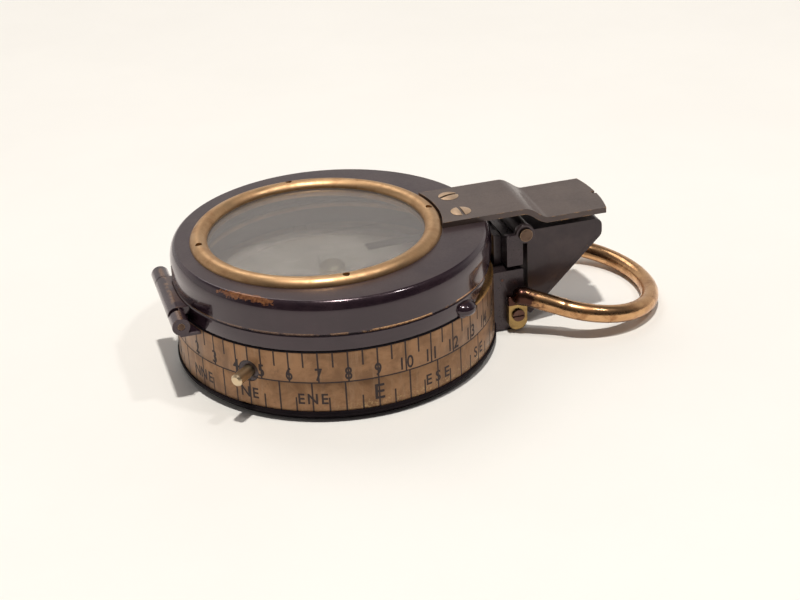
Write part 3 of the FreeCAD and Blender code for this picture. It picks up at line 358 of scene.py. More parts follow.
MAT = {
    "lid": lacquer("lid_lacquer", (0.011, 0.0058, 0.010), (0.028, 0.017, 0.022), 0.06, 0.17,
                   shine=0.6, lid_wear=True, relief=0.05, polish=0.05),
    # The flat top's lacquer: duller from wear, and lighter partly as painted light from the lamp above.
    "lid_top": lacquer("lid_top_lacquer_with_painted_light", (0.034, 0.024, 0.027), (0.050, 0.036, 0.037), 0.06, 0.34,
                       shine=0.12, lid_wear=True, relief=0.08),
    "strap": lacquer("strap_lacquer", (0.060, 0.045, 0.036), (0.082, 0.062, 0.049), 0.17, 0.36,
                     brushed=(0.12, 1, 1)),
    "case": lacquer("case_lacquer", (0.013, 0.0095, 0.012), (0.036, 0.027, 0.027), 0.02, 0.30),
    "prism": lacquer("prism_lacquer", (0.015, 0.011, 0.012), (0.040, 0.029, 0.027), 0.04, 0.34,
                     brushed=(1, 1, 0.08)),
    "rim": lacquer("rim_lacquer", (0.006, 0.004, 0.006), (0.012, 0.008, 0.010), -0.05, 0.6,
                   shine=0.0, level=0.08),
    "band": band_brass(),
    "ledge": ledge_brass(),
    "engraving": engraving(),
    "bezel": metal("bezel_brass", (0.60, 0.38, 0.20), (0.36, 0.19, 0.095), 0.42, 0.66,
                   worn=(0.78, 0.58, 0.34)),
    "ring": ring_brass(),
    "tab": metal("tab_brass", (0.46, 0.31, 0.12), (0.13, 0.07, 0.04), 0.32, 0.75, worn=(0.70, 0.50, 0.24)),
    "screw": metal("screw_brass", (0.74, 0.53, 0.36), (0.36, 0.22, 0.13), 0.36, 0.45, lines=(0.2, 1, 1),
                   worn=(0.66, 0.48, 0.30)),
    "dark_screw": metal("dark_screw_brass", (0.13, 0.07, 0.055), (0.05, 0.025, 0.02), 0.3, 0.7),
    "pin": metal("pin_brass", (0.66, 0.52, 0.34), (0.40, 0.26, 0.14), 0.34, 0.35, worn=(0.80, 0.68, 0.48)),
    "pivot": metal("pivot_brass", (0.13, 0.085, 0.062), (0.05, 0.03, 0.024), 0.34, 0.7,
                   worn=(0.40, 0.27, 0.17)),
    "inner": metal("inner_brass", (0.60, 0.46, 0.25), (0.36, 0.25, 0.13), 0.34, 0.4, lines=(1, 0.2, 1)),
    "steel": metal("worked_steel", (0.42, 0.42, 0.43), (0.20, 0.17, 0.16), 0.30, 0.4, lines=(0.2, 1, 1)),
    "magnet": metal("blued_steel", (0.10, 0.12, 0.17), (0.05, 0.05, 0.07), 0.32, 0.4, lines=(0.1, 1, 1)),
    "lid_glass": dusty_glass("lid_glass", (0.95, 0.96, 0.95), 0.34, (0.200, 0.178, 0.170), 0.55),
    "glass": dusty_glass("clear_glass", (0.97, 0.98, 0.96), 0.03, (0.40, 0.42, 0.38)),
    "card": paper("card_face", (0.40, 0.365, 0.33), (0.33, 0.30, 0.265)),
    "print": paper("card_ink", (0.15, 0.135, 0.12), (0.20, 0.18, 0.16)),
    "hub": metal("hub_brass", (0.86, 0.74, 0.52), (0.60, 0.48, 0.32), 0.16, 0.35),
    "strip": paper("luminous_strip", (0.012, 0.012, 0.011), (0.03, 0.028, 0.024)),
    "jewel": paper("jewel_red", (0.30, 0.03, 0.04), (0.16, 0.02, 0.03)),
}


# ---- mesh helpers --------------------------------------------------------------------

def tidy_mesh(mesh, sharp=38):
    work = bmesh.new()
    work.from_mesh(mesh)
    bmesh.ops.remove_doubles(work, verts=work.verts, dist=1e-7)
    bmesh.ops.recalc_face_normals(work, faces=work.faces)
    work.to_mesh(mesh)
    work.free()
    mesh.shade_smooth()
    mesh.set_sharp_from_angle(angle=math.radians(sharp))


def piece(name, verts, faces, material, body=None, slot=None, replaced=(), sharp=38):
    """A mesh object from points in millimetres, riding on a CAD body."""
    mesh = bpy.data.meshes.new(name)
    mesh.from_pydata([Vector(v) * MM for v in verts], [], faces)
    tidy_mesh(mesh, sharp)
    made = bpy.data.objects.new(name, mesh)
    bpy.context.scene.collection.objects.link(made)
    made.data.materials.append(MAT[material])
    if body:
        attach(made, body)
    if replaced:
        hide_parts(*replaced)
    return made


def rounded(points, radius=0.15, steps=4, closed=True):
    """An outline with each corner rounded; a third number on a point is its own radius."""
    out = []
    count = len(points)
    for i, point in enumerate(points):
        here = Vector(point[:2])
        r = point[2] if len(point) > 2 else radius
        if not closed and i in (0, count - 1) or r <= 0:
            out.append(here)
            continue
        back = Vector(points[i - 1][:2]) - here
        on = Vector(points[(i + 1) % count][:2]) - here
        reach = min(r, back.length * 0.45, on.length * 0.45)
        start = here + back.normalized() * reach
        end = here + on.normalized() * reach
        for k in range(steps + 1):
            s = k / steps
            out.append(start * (1 - s) ** 2 + here * 2 * s * (1 - s) + end * s * s)
    return out


def lathe_mesh(outline, turns=288, centre=(0, 0)):
    """Turns a closed (radius, height) outline round a vertical line."""
    verts, faces = [], []
    rows = len(outline)
    for k in range(turns):
        a = 2 * math.pi * k / turns
        for r, z in outline:
            verts.append((centre[0] + r * math.cos(a), centre[1] + r * math.sin(a), z))
    for k in range(turns):
        nxt = (k + 1) % turns
        for i in range(rows):
            j = (i + 1) % rows
            faces.append((k * rows + i, nxt * rows + i, nxt * rows + j, k * rows + j))
    return verts, faces


def prism_mesh(outline, low, high, plane="xz"):
    """Pushes a closed outline from low to high, square to its plane."""
    def spot(p, depth):
        return {"xz": (p[0], depth, p[1]), "xy": (p[0], p[1], depth), "yz": (depth, p[0], p[1])}[plane]
    count = len(outline)
    verts = [spot(p, low) for p in outline] + [spot(p, high) for p in outline]
    faces = [tuple(range(count)), tuple(range(2 * count - 1, count - 1, -1))]
    faces += [(i, (i + 1) % count, count + (i + 1) % count, count + i) for i in range(count)]
    return verts, faces


def tube_mesh(path, radius, sides=40):
    """A round wire along a path of points, with domed ends."""
    points = [Vector(p) for p in path]
    up = Vector((0, 0, 1))
    rings = []
    for i, p in enumerate(points):
        along = (points[min(i + 1, len(points) - 1)] - points[max(i - 1, 0)]).normalized()
        side = along.cross(up).normalized()
        rings.append((p, side, side.cross(along).normalized(), 1.0))
    start, end = points[0], points[-1]
    backward = (start - points[1]).normalized() * radius
    onward = (end - points[-2]).normalized() * radius
    lean = [math.pi / 2 * k / 6 for k in range(1, 6)]
    head = [(start + backward * math.sin(a), *rings[0][1:3], math.cos(a)) for a in reversed(lean)]
    tail = [(end + onward * math.sin(a), *rings[-1][1:3], math.cos(a)) for a in lean]
    rings = head + rings + tail
    verts, faces = [], []
    for p, side, top, size in rings:
        for k in range(sides):
            a = 2 * math.pi * k / sides
            verts.append(p + (side * math.cos(a) + top * math.sin(a)) * radius * size)
    for i in range(len(rings) - 1):
        for k in range(sides):
            n = (k + 1) % sides
            faces.append((i * sides + k, i * sides + n, (i + 1) * sides + n, (i + 1) * sides + k))
    for tip, row in ((start + backward, 0), (end + onward, len(rings) - 1)):
        verts.append(tip)
        faces += [(row * sides + k, row * sides + (k + 1) % sides, len(verts) - 1) for k in range(sides)]
    return verts, faces


def soften(obj, width, segments=3, angle=35):
    """Rounds an object's edges."""
    bevel = obj.modifiers.new("bevel", "BEVEL")
    bevel.width = width * MM
    bevel.segments = segments
    bevel.limit_method = "ANGLE"
    bevel.angle_limit = math.radians(angle)
    bevel.harden_normals = False
    return obj


def freeze(obj):
    """Puts the result of an object's modifiers into its mesh."""
    graph = bpy.context.evaluated_depsgraph_get()
    mesh = bpy.data.meshes.new_from_object(obj.evaluated_get(graph))
    obj.modifiers.clear()
    obj.data = mesh
    return obj


def carve(obj, cutters, sharp=38):
    """Cuts shapes out of an object and removes them."""
    for cutter in cutters:
        cut = obj.modifiers.new("cut", "BOOLEAN")
        cut.operation = "DIFFERENCE"
        cut.solver = "EXACT"
        cut.object = cutter
    bpy.context.view_layer.update()
    freeze(obj)
    for cutter in cutters:
        bpy.data.objects.remove(cutter)
    obj.data.shade_smooth()
    obj.data.set_sharp_from_angle(angle=math.radians(sharp))
    return obj


def cylinder(name, radius, low, high, centre=(0, 0), axis="z", turns=96):
    """A plain round cutter along an axis."""
    circle = [(centre[0] + radius * math.cos(2 * math.pi * k / turns),
               centre[1] + radius * math.sin(2 * math.pi * k / turns)) for k in range(turns)]
    plane = {"z": "xy", "y": "xz", "x": "yz"}[axis]
    return piece(name, *prism_mesh(circle, low, high, plane), "case")


def box_cutter(name, low, high):
    """A plain square-cornered cutter."""
    square = [(low[0], low[1]), (high[0], low[1]), (high[0], high[1]), (low[0], high[1])]
    return piece(name, *prism_mesh(square, low[2], high[2], "xy"), "case")


def arc(centre, radius, start, end, steps):
    """Points of an arc between two angles in degrees."""
    return [(centre[0] + radius * math.cos(math.radians(start + (end - start) * k / steps)),
             centre[1] + radius * math.sin(math.radians(start + (end - start) * k / steps)))
            for k in range(steps + 1)]


def bulge(start, end, radius, steps=10):
    """Points of the short arc from start to end that bulges to the right of the walk."""
    a, b = Vector(start), Vector(end)
    chord = b - a
    side = Vector((chord.y, -chord.x)).normalized()
    centre = (a + b) / 2 - side * math.sqrt(max(radius ** 2 - (chord.length / 2) ** 2, 0))
    first = math.atan2(a.y - centre.y, a.x - centre.x)
    turn = 2 * math.asin(min(1, chord.length / 2 / radius))
    return [(centre.x + radius * math.cos(first + turn * k / steps),
             centre.y + radius * math.sin(first + turn * k / steps)) for k in range(steps + 1)]


# ---- case ----------------------------------------------------------------------------

def build_case():
    """The lacquered base plate with its turned line and spanner holes, and the engraved band."""
    step, line = 1.3, 9.8
    outline = rounded([
        (0.01, 0, 0), (line - 0.2, 0, 0), (line, 0.25, 0), (line + 0.2, 0, 0), (RIM_R - step, 0, 0.25),
        (RIM_R, step, 0.35), (RIM_R, BAND_LOW, 0.08), (0.01, BAND_LOW, 0)], 0, 5)
    rim = piece("base_rim", *lathe_mesh(outline, 288), "rim", "case", "lacquer_case", ["base_plate"], 50)
    carve(rim, [cylinder("spanner", 1.0, -1, 0.8, (14 * side, 0), turns=32) for side in (-1, 1)])
    bore, seat_bore, seat = 25.9, 24.8, BAND_TOP - 1.2
    wall = rounded([
        (bore, BAND_LOW), (CASE_R, BAND_LOW), (CASE_R, DIVIDE - 0.09, 0), (CASE_R - 0.06, DIVIDE, 0),
        (CASE_R, DIVIDE + 0.09, 0), (CASE_R, BAND_TOP - 0.25, 0.15), (CASE_R - 0.25, BAND_TOP, 0.15),
        (seat_bore, BAND_TOP), (seat_bore, seat), (bore, seat)], 0.08, 3)
    band = piece("scale_band", *lathe_mesh(wall, 360), "band", "case", "scale_brass", ["case_wall"])
    carve_band(band)
    # The top ledge takes the ledge material: painted shade under the lid, brass on the prism side.
    band.data.materials.append(MAT["ledge"])
    for face in band.data.polygons:
        if face.center.z / MM > BAND_TOP - 0.2:
            face.material_index = 1


def carve_band(band):
    """The band's holes: lifter pin and lever slot, bracket screws, brake bush."""
    pin_low, pin_high = cad("lift_pin")
    pin_y = (pin_low.y + pin_high.y) / 2
    screw_low, screw_high = cad("bracket_screws")
    bush_low, bush_high = cad("brake_bush")
    cutters = [cylinder("pin_hole", (pin_high.x - pin_low.x) / 2 + 0.05, 8.8, 15, (0, pin_y), turns=40),
               box_cutter("lever_slot", (-1.5, 24, 8.2), (1.5, pin_y + 0.6, 10.9))]
    middle = (screw_low.z + screw_high.z) / 2
    spread = 4.2
    for side in (-1, 1):
        cutters.append(cylinder("screw_hole", 1.6, 20.9, 26.2, (side * spread, middle), "x", 40))
        cutters.append(cylinder("shank_hole", 0.85, 22, 32, (side * spread, middle), "x", 32))
    bush = cylinder("bush_hole", (bush_high.z - bush_low.z) / 2, 22, 30, (0, (bush_low.z + bush_high.z) / 2),
                    "x", 64)
    bush.matrix_world = Matrix.Rotation(math.radians(225), 4, "Z")
    cutters.append(bush)
    carve(band, cutters)


def wrapped_strip(verts, faces, angle, half_width, low, high, lift=0.012):
    """A short upright mark on the band, following its curve."""
    steps = max(1, round(half_width / 0.25))
    first = len(verts)
    for k in range(-steps, steps + 1):
        a = angle + half_width * k / steps / CASE_R
        for z in (low, high):
            verts.append(((CASE_R + lift) * math.cos(a), (CASE_R + lift) * math.sin(a), z))
    for k in range(2 * steps):
        i = first + 2 * k
        faces.append((i, i + 2, i + 3, i + 1))


def glyph_mesh(text, height, squeeze, weight):
    """Flat letters as a bmesh in millimetres, centred on x = 0, standing on y = 0."""
    curve = bpy.data.curves.new("glyph", "FONT")
    curve.body = text
    curve.align_x = "CENTER"
    curve.size = height / 0.73
    curve.offset = weight
    curve.resolution_u = 4
    holder = bpy.data.objects.new("glyph", curve)
    bpy.context.scene.collection.objects.link(holder)
    graph = bpy.context.evaluated_depsgraph_get()
    mesh = bpy.data.meshes.new_from_object(holder.evaluated_get(graph))
    work = bmesh.new()
    work.from_mesh(mesh)
    bpy.data.objects.remove(holder)
    bmesh.ops.transform(work, matrix=Matrix.Diagonal((squeeze, 1, 1, 1)), verts=work.verts)
    return work


def wrap_text(verts, faces, text, angle, low, height, pitch, squeeze, weight):
    """Letters on the band, each centred on its own place."""
    radius = CASE_R + 0.014
    for i, letter in enumerate(text):
        work = glyph_mesh(letter, height, squeeze, weight)
        for k in range(-6, 7):
            geometry = work.verts[:] + work.edges[:] + work.faces[:]
            bmesh.ops.bisect_plane(work, geom=geometry, plane_co=(k * 0.25, 0, 0), plane_no=(1, 0, 0))
        middle = angle + (i - (len(text) - 1) / 2) * pitch / CASE_R
        first = len(verts)
        work.verts.index_update()
        for v in work.verts:
            a = middle + v.co.x / CASE_R
            verts.append((radius * math.cos(a), radius * math.sin(a), low + v.co.y))
        faces += [tuple(first + v.index for v in f.verts) for f in work.faces]
        work.free()


def build_scale():
    """Tens of degrees over sixteen compass points, cut round the band and filled dark."""
    verts, faces = [], []
    top, short = BAND_TOP - 0.12, 2.7
    foot, tick = BAND_LOW + 0.02, 2.6
    half = SCALE_STROKE / 2
    for n in range(72):
        angle = math.pi + math.radians(5 * n)
        tens = n % 2 == 0
        wrapped_strip(verts, faces, angle, half, DIVIDE if tens else top - short, top)
    for n in range(16):
        angle = math.pi + math.radians(22.5 * n)
        wrapped_strip(verts, faces, angle + math.radians(11.25), half, foot, DIVIDE)
        wrapped_strip(verts, faces, angle, half, foot, DIVIDE)
        for side in (-1, 1):
            wrapped_strip(verts, faces, angle + math.radians(5.625 * side), half, foot, foot + tick)
    for k in range(72):
        wrapped_strip(verts, faces, math.radians(5 * k + 2.5), math.radians(2.5) * CASE_R,
                      DIVIDE - 0.11, DIVIDE + 0.11, 0.008)
    piece("scale_lines", verts, faces, "engraving", "case", "scale_brass")
    verts, faces = [], []
    for n in range(1, 37):
        wrap_text(verts, faces, str(n), math.pi + math.radians(10 * n), DIVIDE + 0.42, 2.3, 1.5, 0.80, 0.045)
    points = "N NNE NE ENE E ESE SE SSE S SSW SW WSW W WNW NW NNW"
    for n, name in enumerate(points.split()):
        big = len(name) == 1
        height = 2.8 if big else 1.95
        wrap_text(verts, faces, name, math.pi + math.radians(22.5 * n), foot + 1.45, height,
                  1.9, 1.0 if big else 0.92, 0.055)
    piece("scale_figures", verts, faces, "engraving", "case", "scale_brass")


# ---- lid -----------------------------------------------------------------------------

def build_lid():
    """The lid's cover: grooved side, arched foot, and a shoulder that bends in more tightly near the top."""
    wall, plate, groove = 1.0, 0.9, 0.22
    shoulder, flat_edge = 2.4, LID_R - 1.03
    easy_bend, tight_bend, change, last = 4.16, 1.32, 25, 65
    low, top = LID_LOW, LID_TOP
    outline = rounded([(0.01, top - plate, 0), (LID_R - 2.2, top - plate, 0.3),
                       (LID_R - wall, top - 2.3, 0.3), (LID_R - wall, low, 0.1), (LID_R, low, 0.15),
                       (LID_R, GROOVE - groove, 0.05), (LID_R - 0.24, GROOVE, 0.06),
                       (LID_R, GROOVE + groove, 0.05)], 0.1, 3, closed=False)
    easy = Vector((LID_R - easy_bend, top - shoulder))
    turned = Vector((math.cos(math.radians(change)), math.sin(math.radians(change))))
    tight = easy + turned * (easy_bend - tight_bend)
    bend = arc(easy, easy_bend, 0, change, 6) + arc(tight, tight_bend, change, last, 8)[1:]
    outline += [Vector(p) for p in bend]
    outline += [Vector((flat_edge - 0.12, top + 0.005)), Vector((0.01, top))]
    shell = piece("lid_cover", *lathe_mesh(outline, 360), "lid", "lid", "lacquer_lid", ["lid_shell"])
    arch_radius, arch_crown, window_hole = 36.0, 19.15, 19.86
    arch = cylinder("arch", arch_radius, 12, 42, (0, arch_crown - arch_radius), "x", 720)
    window = cylinder("window", window_hole, top - 4, top + 4, (WINDOW_X, 0), "z", 240)
    carve(shell, [arch, window], 34)
    # Upward faces of the top take the lighter lacquer, partly painted light from above.
    shell.data.materials.append(MAT["lid_top"])
    for face in shell.data.polygons:
        middle = face.center / MM
        if face.normal.z > 0.9 and middle.z > top - 0.2:
            face.material_index = 1
    build_lug()
    build_window()
    build_strap()


def build_lug():
    """A cast thumb lug on the lid's side, hanging a little below the lid's edge."""
    verts, faces = [], []
    angle = math.radians(-52)
    out = Vector((math.cos(angle), math.sin(angle), 0))
    side = Vector((-out.y, out.x, 0))
    low, high = cad("lid_lug")
    half_high = (high.z - low.z) / 2 + 0.15
    middle = out * (LID_R - 1.3) + Vector((0, 0, (low.z + high.z) / 2))
    rows, columns = 24, 48
    for i in range(rows + 1):
        lat = -math.pi / 2 + math.pi * i / rows
        for k in range(columns):
            lon = -math.pi / 2 + math.pi * k / (columns - 1)
            flat = max(0.0, math.cos(lat)) ** 0.8
            place = (middle + out * (3.0 * flat * max(0.0, math.cos(lon)) ** 0.75)
                     + side * (2.2 * flat * math.sin(lon))
                     + Vector((0, 0, half_high * math.copysign(abs(math.sin(lat)) ** 0.9, lat))))
            reach = math.hypot(place.x, place.y)
            least = CASE_R + 0.12 if place.z < LID_LOW else LID_R - 0.25
            push = max(1.0, least / reach)
            verts.append(Vector((place.x * push, place.y * push, place.z)))
    for i in range(rows):
        for k in range(columns - 1):
            a = i * columns + k
            faces.append((a, a + 1, a + columns + 1, a + columns))
        faces.append((i * columns, (i + 1) * columns, (i + 2) * columns - 1, (i + 1) * columns - 1))
    piece("lid_thumb_lug", verts, faces, "lid", "lid", "lacquer_lid", ["lid_lug"], 60)


def build_window():
    """The window's round-topped bezel with four spanner dots, its pane and the sighting hairline."""
    clear = pane_high.y - 0.65
    crest = (clear + WINDOW_R) / 2
    base = LID_TOP
    crown = window_high.z
    crown_line = bulge((WINDOW_R, base + 0.1), (crest, crown), 1.55, 12)
    crown_line += bulge((crest, crown), (clear, base + 0.35), 1.6, 10)[1:]
    outline = [Vector(p) for p in [(pane_high.y, window_low.z), (19.85, window_low.z), (19.85, base),
                                   (WINDOW_R, base)] + crown_line + [(clear, base), (pane_high.y, base)]]
    ring = piece("lid_bezel", *lathe_mesh(outline, 320, (WINDOW_X, 0)), "bezel", "lid", "worn_brass",
                 ["window_bezel"], 45)
    dots = []
    for k in range(4):
        a = math.radians(90 * k)
        spot = (WINDOW_X + (crest + 0.15) * math.cos(a), (crest + 0.15) * math.sin(a))
        dots.append(cylinder(f"dot{k}", 0.6, base + 0.8, base + 3, spot, turns=24))
    carve(ring, dots, 45)
    low, high = pane_low.z, pane_high.z
    r = pane_high.y
    flat = r - 0.3
    pane = rounded([(0.01, low, 0), (flat, low, 0), (r, low, 0.1), (r, high, 0.1), (flat, high, 0),
                    (0.01, high, 0)], 0, 4)
    piece("lid_pane", *lathe_mesh(pane, 200, (WINDOW_X, 0)), "lid_glass", "lid", "lens_glass",
          ["window_glass"])
    line = prism_mesh([(WINDOW_X - r + 1, low - 0.03), (WINDOW_X + r - 1, low - 0.03),
                       (WINDOW_X + r - 1, low), (WINDOW_X - r + 1, low)], -0.06, 0.06)
    piece("sight_hairline", *line, "engraving", "lid", "lens_glass")


def strap_centre(x):
    """Height of the strap's middle line: level over the lid, a soft step down, level over the prism."""
    step_start, step_length = 32.6, 4.4
    drop = strap_high.z - STRAP_THICK - strap_low.z
    s = min(1.0, max(0.0, (x - step_start) / step_length))
    return STRAP_TOP - STRAP_THICK / 2 - drop * s * s * (3 - 2 * s)


def build_strap():
    """The strap: hollowed round the bezel at one end, stepped down, and notched in its curved tip."""
    inner_r = WINDOW_R + 0.05
    tip_r, start = 30.0, 22
    notch_half, notch_deep = 0.45, 0.7
    stops = [start + 0.5 * k for k in range(21)] + [32.3 + 0.16 * k for k in range(31)]
    stops += [38, 41, 44, 46, 47.2]
    ys = [-STRAP_HALF + 0.45 * k for k in range(int(STRAP_HALF / 0.45) + 1)]
    ys = [y for y in ys if y < -0.7] + [-notch_half - 0.001, -notch_half]
    ys = ys + [-y for y in reversed(ys)]
    grid = []
    for y in ys:
        first = WINDOW_X + math.sqrt(inner_r ** 2 - y * y)
        last = STRAP_TIP - tip_r + math.sqrt(tip_r ** 2 - y * y) - (notch_deep if abs(y) <= notch_half else 0)
        grid.append([first + (start - first) * k / 5 for k in range(5)] + stops + [last])
    rows = len(grid[0])
    verts, faces = [], []
    for y, xs in zip(ys, grid):
        for x in xs:
            slope = (strap_centre(x + 0.01) - strap_centre(x - 0.01)) / 0.02
            size = math.sqrt(1 + slope * slope)
            out_x, out_z = -slope / size * STRAP_THICK / 2, STRAP_THICK / 2 / size
            z = strap_centre(x)
            verts.append((x + out_x, y, z + out_z))
            verts.append((x - out_x, y, z - out_z))
    count = len(ys)

    def at(j, i, under):
        return 2 * (j * rows + i) + under

    for j in range(count - 1):
        for i in range(rows - 1):
            faces.append((at(j, i, 0), at(j, i + 1, 0), at(j + 1, i + 1, 0), at(j + 1, i, 0)))
            faces.append((at(j, i, 1), at(j + 1, i, 1), at(j + 1, i + 1, 1), at(j, i + 1, 1)))
        for i in (0, rows - 1):
            faces.append((at(j, i, 0), at(j + 1, i, 0), at(j + 1, i, 1), at(j, i, 1)))
    for j in (0, count - 1):
        for i in range(rows - 1):
            faces.append((at(j, i, 0), at(j, i + 1, 0), at(j, i + 1, 1), at(j, i, 1)))
    strap = piece("sight_strap", verts, faces, "strap", "lid", "lacquer_lid", ["lid_strap"])
    soften(strap, 0.14, 3, 50)
    build_strap_screws()


def build_strap_screws():
    """Two countersunk screws with domed heads, each slot turned its own way."""
    low, high = cad("strap_screws")
    head = (high.x - low.x) / 2
    x = (low.x + high.x) / 2
    for side, angle in ((-1, 90), (1, 13)):
        y = side * (high.y - head)
        under = STRAP_TOP - 1
        outline = [Vector((0.01, under)), Vector((head - 0.5, under)), Vector((head, STRAP_TOP))]
        outline += [Vector(p) for p in bulge((head, STRAP_TOP + 0.04), (0.01, STRAP_TOP + 0.24), 9.0, 8)]
        screw = piece(f"strap_screw_{'near' if side < 0 else 'far'}", *lathe_mesh(outline, 72, (x, y)),
                      "screw", "lid", "screw_brass")
        slot = box_cutter("slot", (-3, -0.27, STRAP_TOP - 0.4), (3, 0.27, STRAP_TOP + 2))
        slot.matrix_world = (Matrix.Translation(Vector((x, y, 0)) * MM)
                             @ Matrix.Rotation(math.radians(angle), 4, "Z"))
        carve(screw, [slot])
        soften(screw, 0.05, 2, 40)
    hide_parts("strap_screws")


# ---- thumb ring ----------------------------------------------------------------------

def smooth_path(points, steps=6):
    """A curve through points, sampled between each pair."""
    out = []
    pts = [points[0] * 2 - points[1]] + points + [points[-1] * 2 - points[-2]]
    for i in range(1, len(pts) - 2):
        a, b, c, d = pts[i - 1:i + 3]
        for k in range(steps):
            s = k / steps
            out.append(0.5 * ((b * 2) + (c - a) * s + (a * 2 - b * 5 + c * 4 - d) * s * s
                              + (b * 3 - a - c * 3 + d) * s ** 3))
    out.append(pts[-2])
    return out


def build_ring():
    """The bow of round wire, knuckled into two flat tabs that hang on the pivot screws."""
    wire = 1.57
    tilt = math.radians(10.6)
    reach, spread, centre = 13.0, 15.2, 44.7
    end = math.radians(128)
    tab_in, tab_out, tab_half, tab_foot = 7.55, 8.85, 1.75, 1.2
    root = Vector((31.5, tab_in + wire + 0.2, 7.1))

    def spot(a):
        along = reach * math.cos(a)
        return Vector((centre + along * math.cos(tilt), spread * math.sin(a),
                       wire + reach * math.sin(tilt) - along * math.sin(tilt)))

    bow = [spot(-end + 2 * end * k / 28) for k in range(29)]
    path = smooth_path([Vector((root.x, -root.y, root.z))] + bow + [root], 5)
    parts = [piece("ring_wire", *tube_mesh(path, wire, 48), "ring")]
    screw_low, screw_high = cad("ring_screws")
    px, pz = (screw_low.x + screw_high.x) / 2, (screw_low.z + screw_high.z) / 2
    for side in (-1, 1):
        near, far = sorted((side * tab_in, side * tab_out))
        foot = pz - tab_foot
        tab = [(px - tab_half, root.z), *arc((px, foot), tab_half, 180, 360, 16), (px + tab_half, root.z)]
        parts.append(piece("tab", *prism_mesh(tab, near, far), "ring"))
        ball = tube_mesh([(root.x - 0.55, side * (tab_in + 0.05 + wire), root.z + 0.1),
                          (root.x + 0.1, side * root.y, root.z - 0.05)], wire + 0.1, 32)
        parts.append(piece("knuckle", *ball, "ring"))
    ring = parts[0]
    bpy.ops.object.select_all(action="DESELECT")
    for part in parts:
        part.select_set(True)
    bpy.context.view_layer.objects.active = ring
    bpy.ops.object.join()
    remesh = ring.modifiers.new("remesh", "REMESH")
    remesh.mode = "VOXEL"
    remesh.voxel_size = 0.13 * MM
    smooth = ring.modifiers.new("smooth", "SMOOTH")
    smooth.factor = 0.5
    smooth.iterations = 4
    bpy.context.view_layer.update()
    freeze(ring)
    ring.name = "thumb_ring_bow"
    hole = cylinder("pivot_hole", 0.7, -12, 12, (px, pz), "y", 48)
    carve(ring, [hole], 60)
    ring.data.materials.append(MAT["tab"])
    for face in ring.data.polygons:
        middle = face.center / MM
        if middle.z < root.z - 1.7 and middle.x < px + 1.9:
            face.material_index = 1
    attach(ring, "ring")
    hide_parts("thumb_ring")


# ---- card print ----------------------------------------------------------------------

def flat_text(verts, faces, text, angle, radius, height, z):
    """Letters lying on the card, their tops away from its centre."""
    work = glyph_mesh(text, height, 0.85, 0.0)
    work.verts.index_update()
    first = len(verts)
    for v in work.verts:
        along, up = v.co.x, v.co.y + radius - height / 2
        verts.append((up * math.cos(angle) + along * math.sin(angle),
                      up * math.sin(angle) - along * math.cos(angle), z))
    faces += [tuple(first + v.index for v in f.verts) for f in work.faces]
    work.free()


def build_card_print():
    """A degree scale on the card's ring, and figures, four letters and a star on its disc."""
    lift = 0.008
    high = cad("card_scale_ring")[1]
    z, radius = high.z + lift, high.y
    verts, faces = [], []
    for n in range(180):
        angle = math.radians(2 * n)
        length = 1.5 if n % 5 == 0 else 0.8
        half = 0.05 if n % 5 else 0.08
        out = Vector((math.cos(angle), math.sin(angle), 0))
        side = Vector((-out.y, out.x, 0)) * half
        first = len(verts)
        for r, s in ((radius - 0.1, -1), (radius - 0.1, 1), (radius - length, 1), (radius - length, -1)):
            verts.append(out * r + side * s + Vector((0, 0, z)))
        faces.append((first, first + 1, first + 2, first + 3))
    piece("card_scale_print", verts, faces, "print", "card", "card_white")
    disc = cad("card_disc")[1].z + lift
    verts, faces = [], []
    for n in range(36):
        flat_text(verts, faces, str((36 - n) % 36 * 10), math.radians(90 + 10 * n), 17.9, 1.0, disc)
    for n, name in enumerate(("N", "E", "S", "W")):
        flat_text(verts, faces, name, math.radians(90 - 90 * n), 14.2, 2.6, disc)
    for n in range(8):
        a = math.radians(45 * n + 90)
        long = 12.0 if n % 2 == 0 else 8.0
        tip = Vector((math.cos(a), math.sin(a), 0))
        side = Vector((-tip.y, tip.x, 0))
        first = len(verts)
        for p in (tip * 3.4, tip * 4.4 + side * (1.3 if n % 2 == 0 else 0.9), tip * long):
            verts.append(p + Vector((0, 0, disc)))
        faces.append((first, first + 1, first + 2))
    piece("card_face_print", verts, faces, "print", "card", "card_white")


# ---- carried-over CAD nodes ----------------------------------------------------------

LOOKS = {
    "pivot_post": "inner", "pivot_needle": "steel", "hinge_case_leaf": "lid", "hinge_pin": "pivot",
    "prism_bracket": "case", "bracket_screws": "screw", "bracket_dowels": "dark_screw",
    "ring_screws": "dark_screw",
    "brake_bush": "case", "brake_post": "inner", "brake_spring": "steel", "lift_bracket": "inner",
    "lift_pivot_pin": "steel", "lift_spring": "steel", "window_glass_ring": "bezel",
    "hinge_lid_leaf": "lid", "bezel_ring": "case", "bezel_glass": "glass", "bezel_glass_ring": "bezel",
    "bezel_snap_ring": "steel", "index_strip": "strip", "card_disc": "card", "card_scale_ring": "card",
    "card_magnets": "magnet", "card_hub": "hub", "jewel_cup": "jewel", "focus_slide": "case",
    "prism_hinge_pin": "pivot", "prism_box": "prism", "prism_cover": "prism", "cover_screws": "screw",
    "prism_glass": "glass", "object_lens": "glass", "eye_lens": "glass", "brake_button": "pin",
    "brake_lever": "inner", "lift_pin": "steel", "lift_lever": "inner",
}
BEVELS = {
    "prism_box": 0.16, "focus_slide": 0.14, "prism_bracket": 0.14, "hinge_case_leaf": 0.35,
    "hinge_lid_leaf": 0.10, "prism_hinge_pin": 0.30, "brake_button": 0.10, "prism_cover": 0.06,
}
PLAIN = {"bezel_glass", "card_disc", "card_scale_ring", "index_strip", "brake_spring", "jewel_cup",
         "prism_glass", "object_lens", "eye_lens", "cover_screws"}
FACET = math.radians(32)


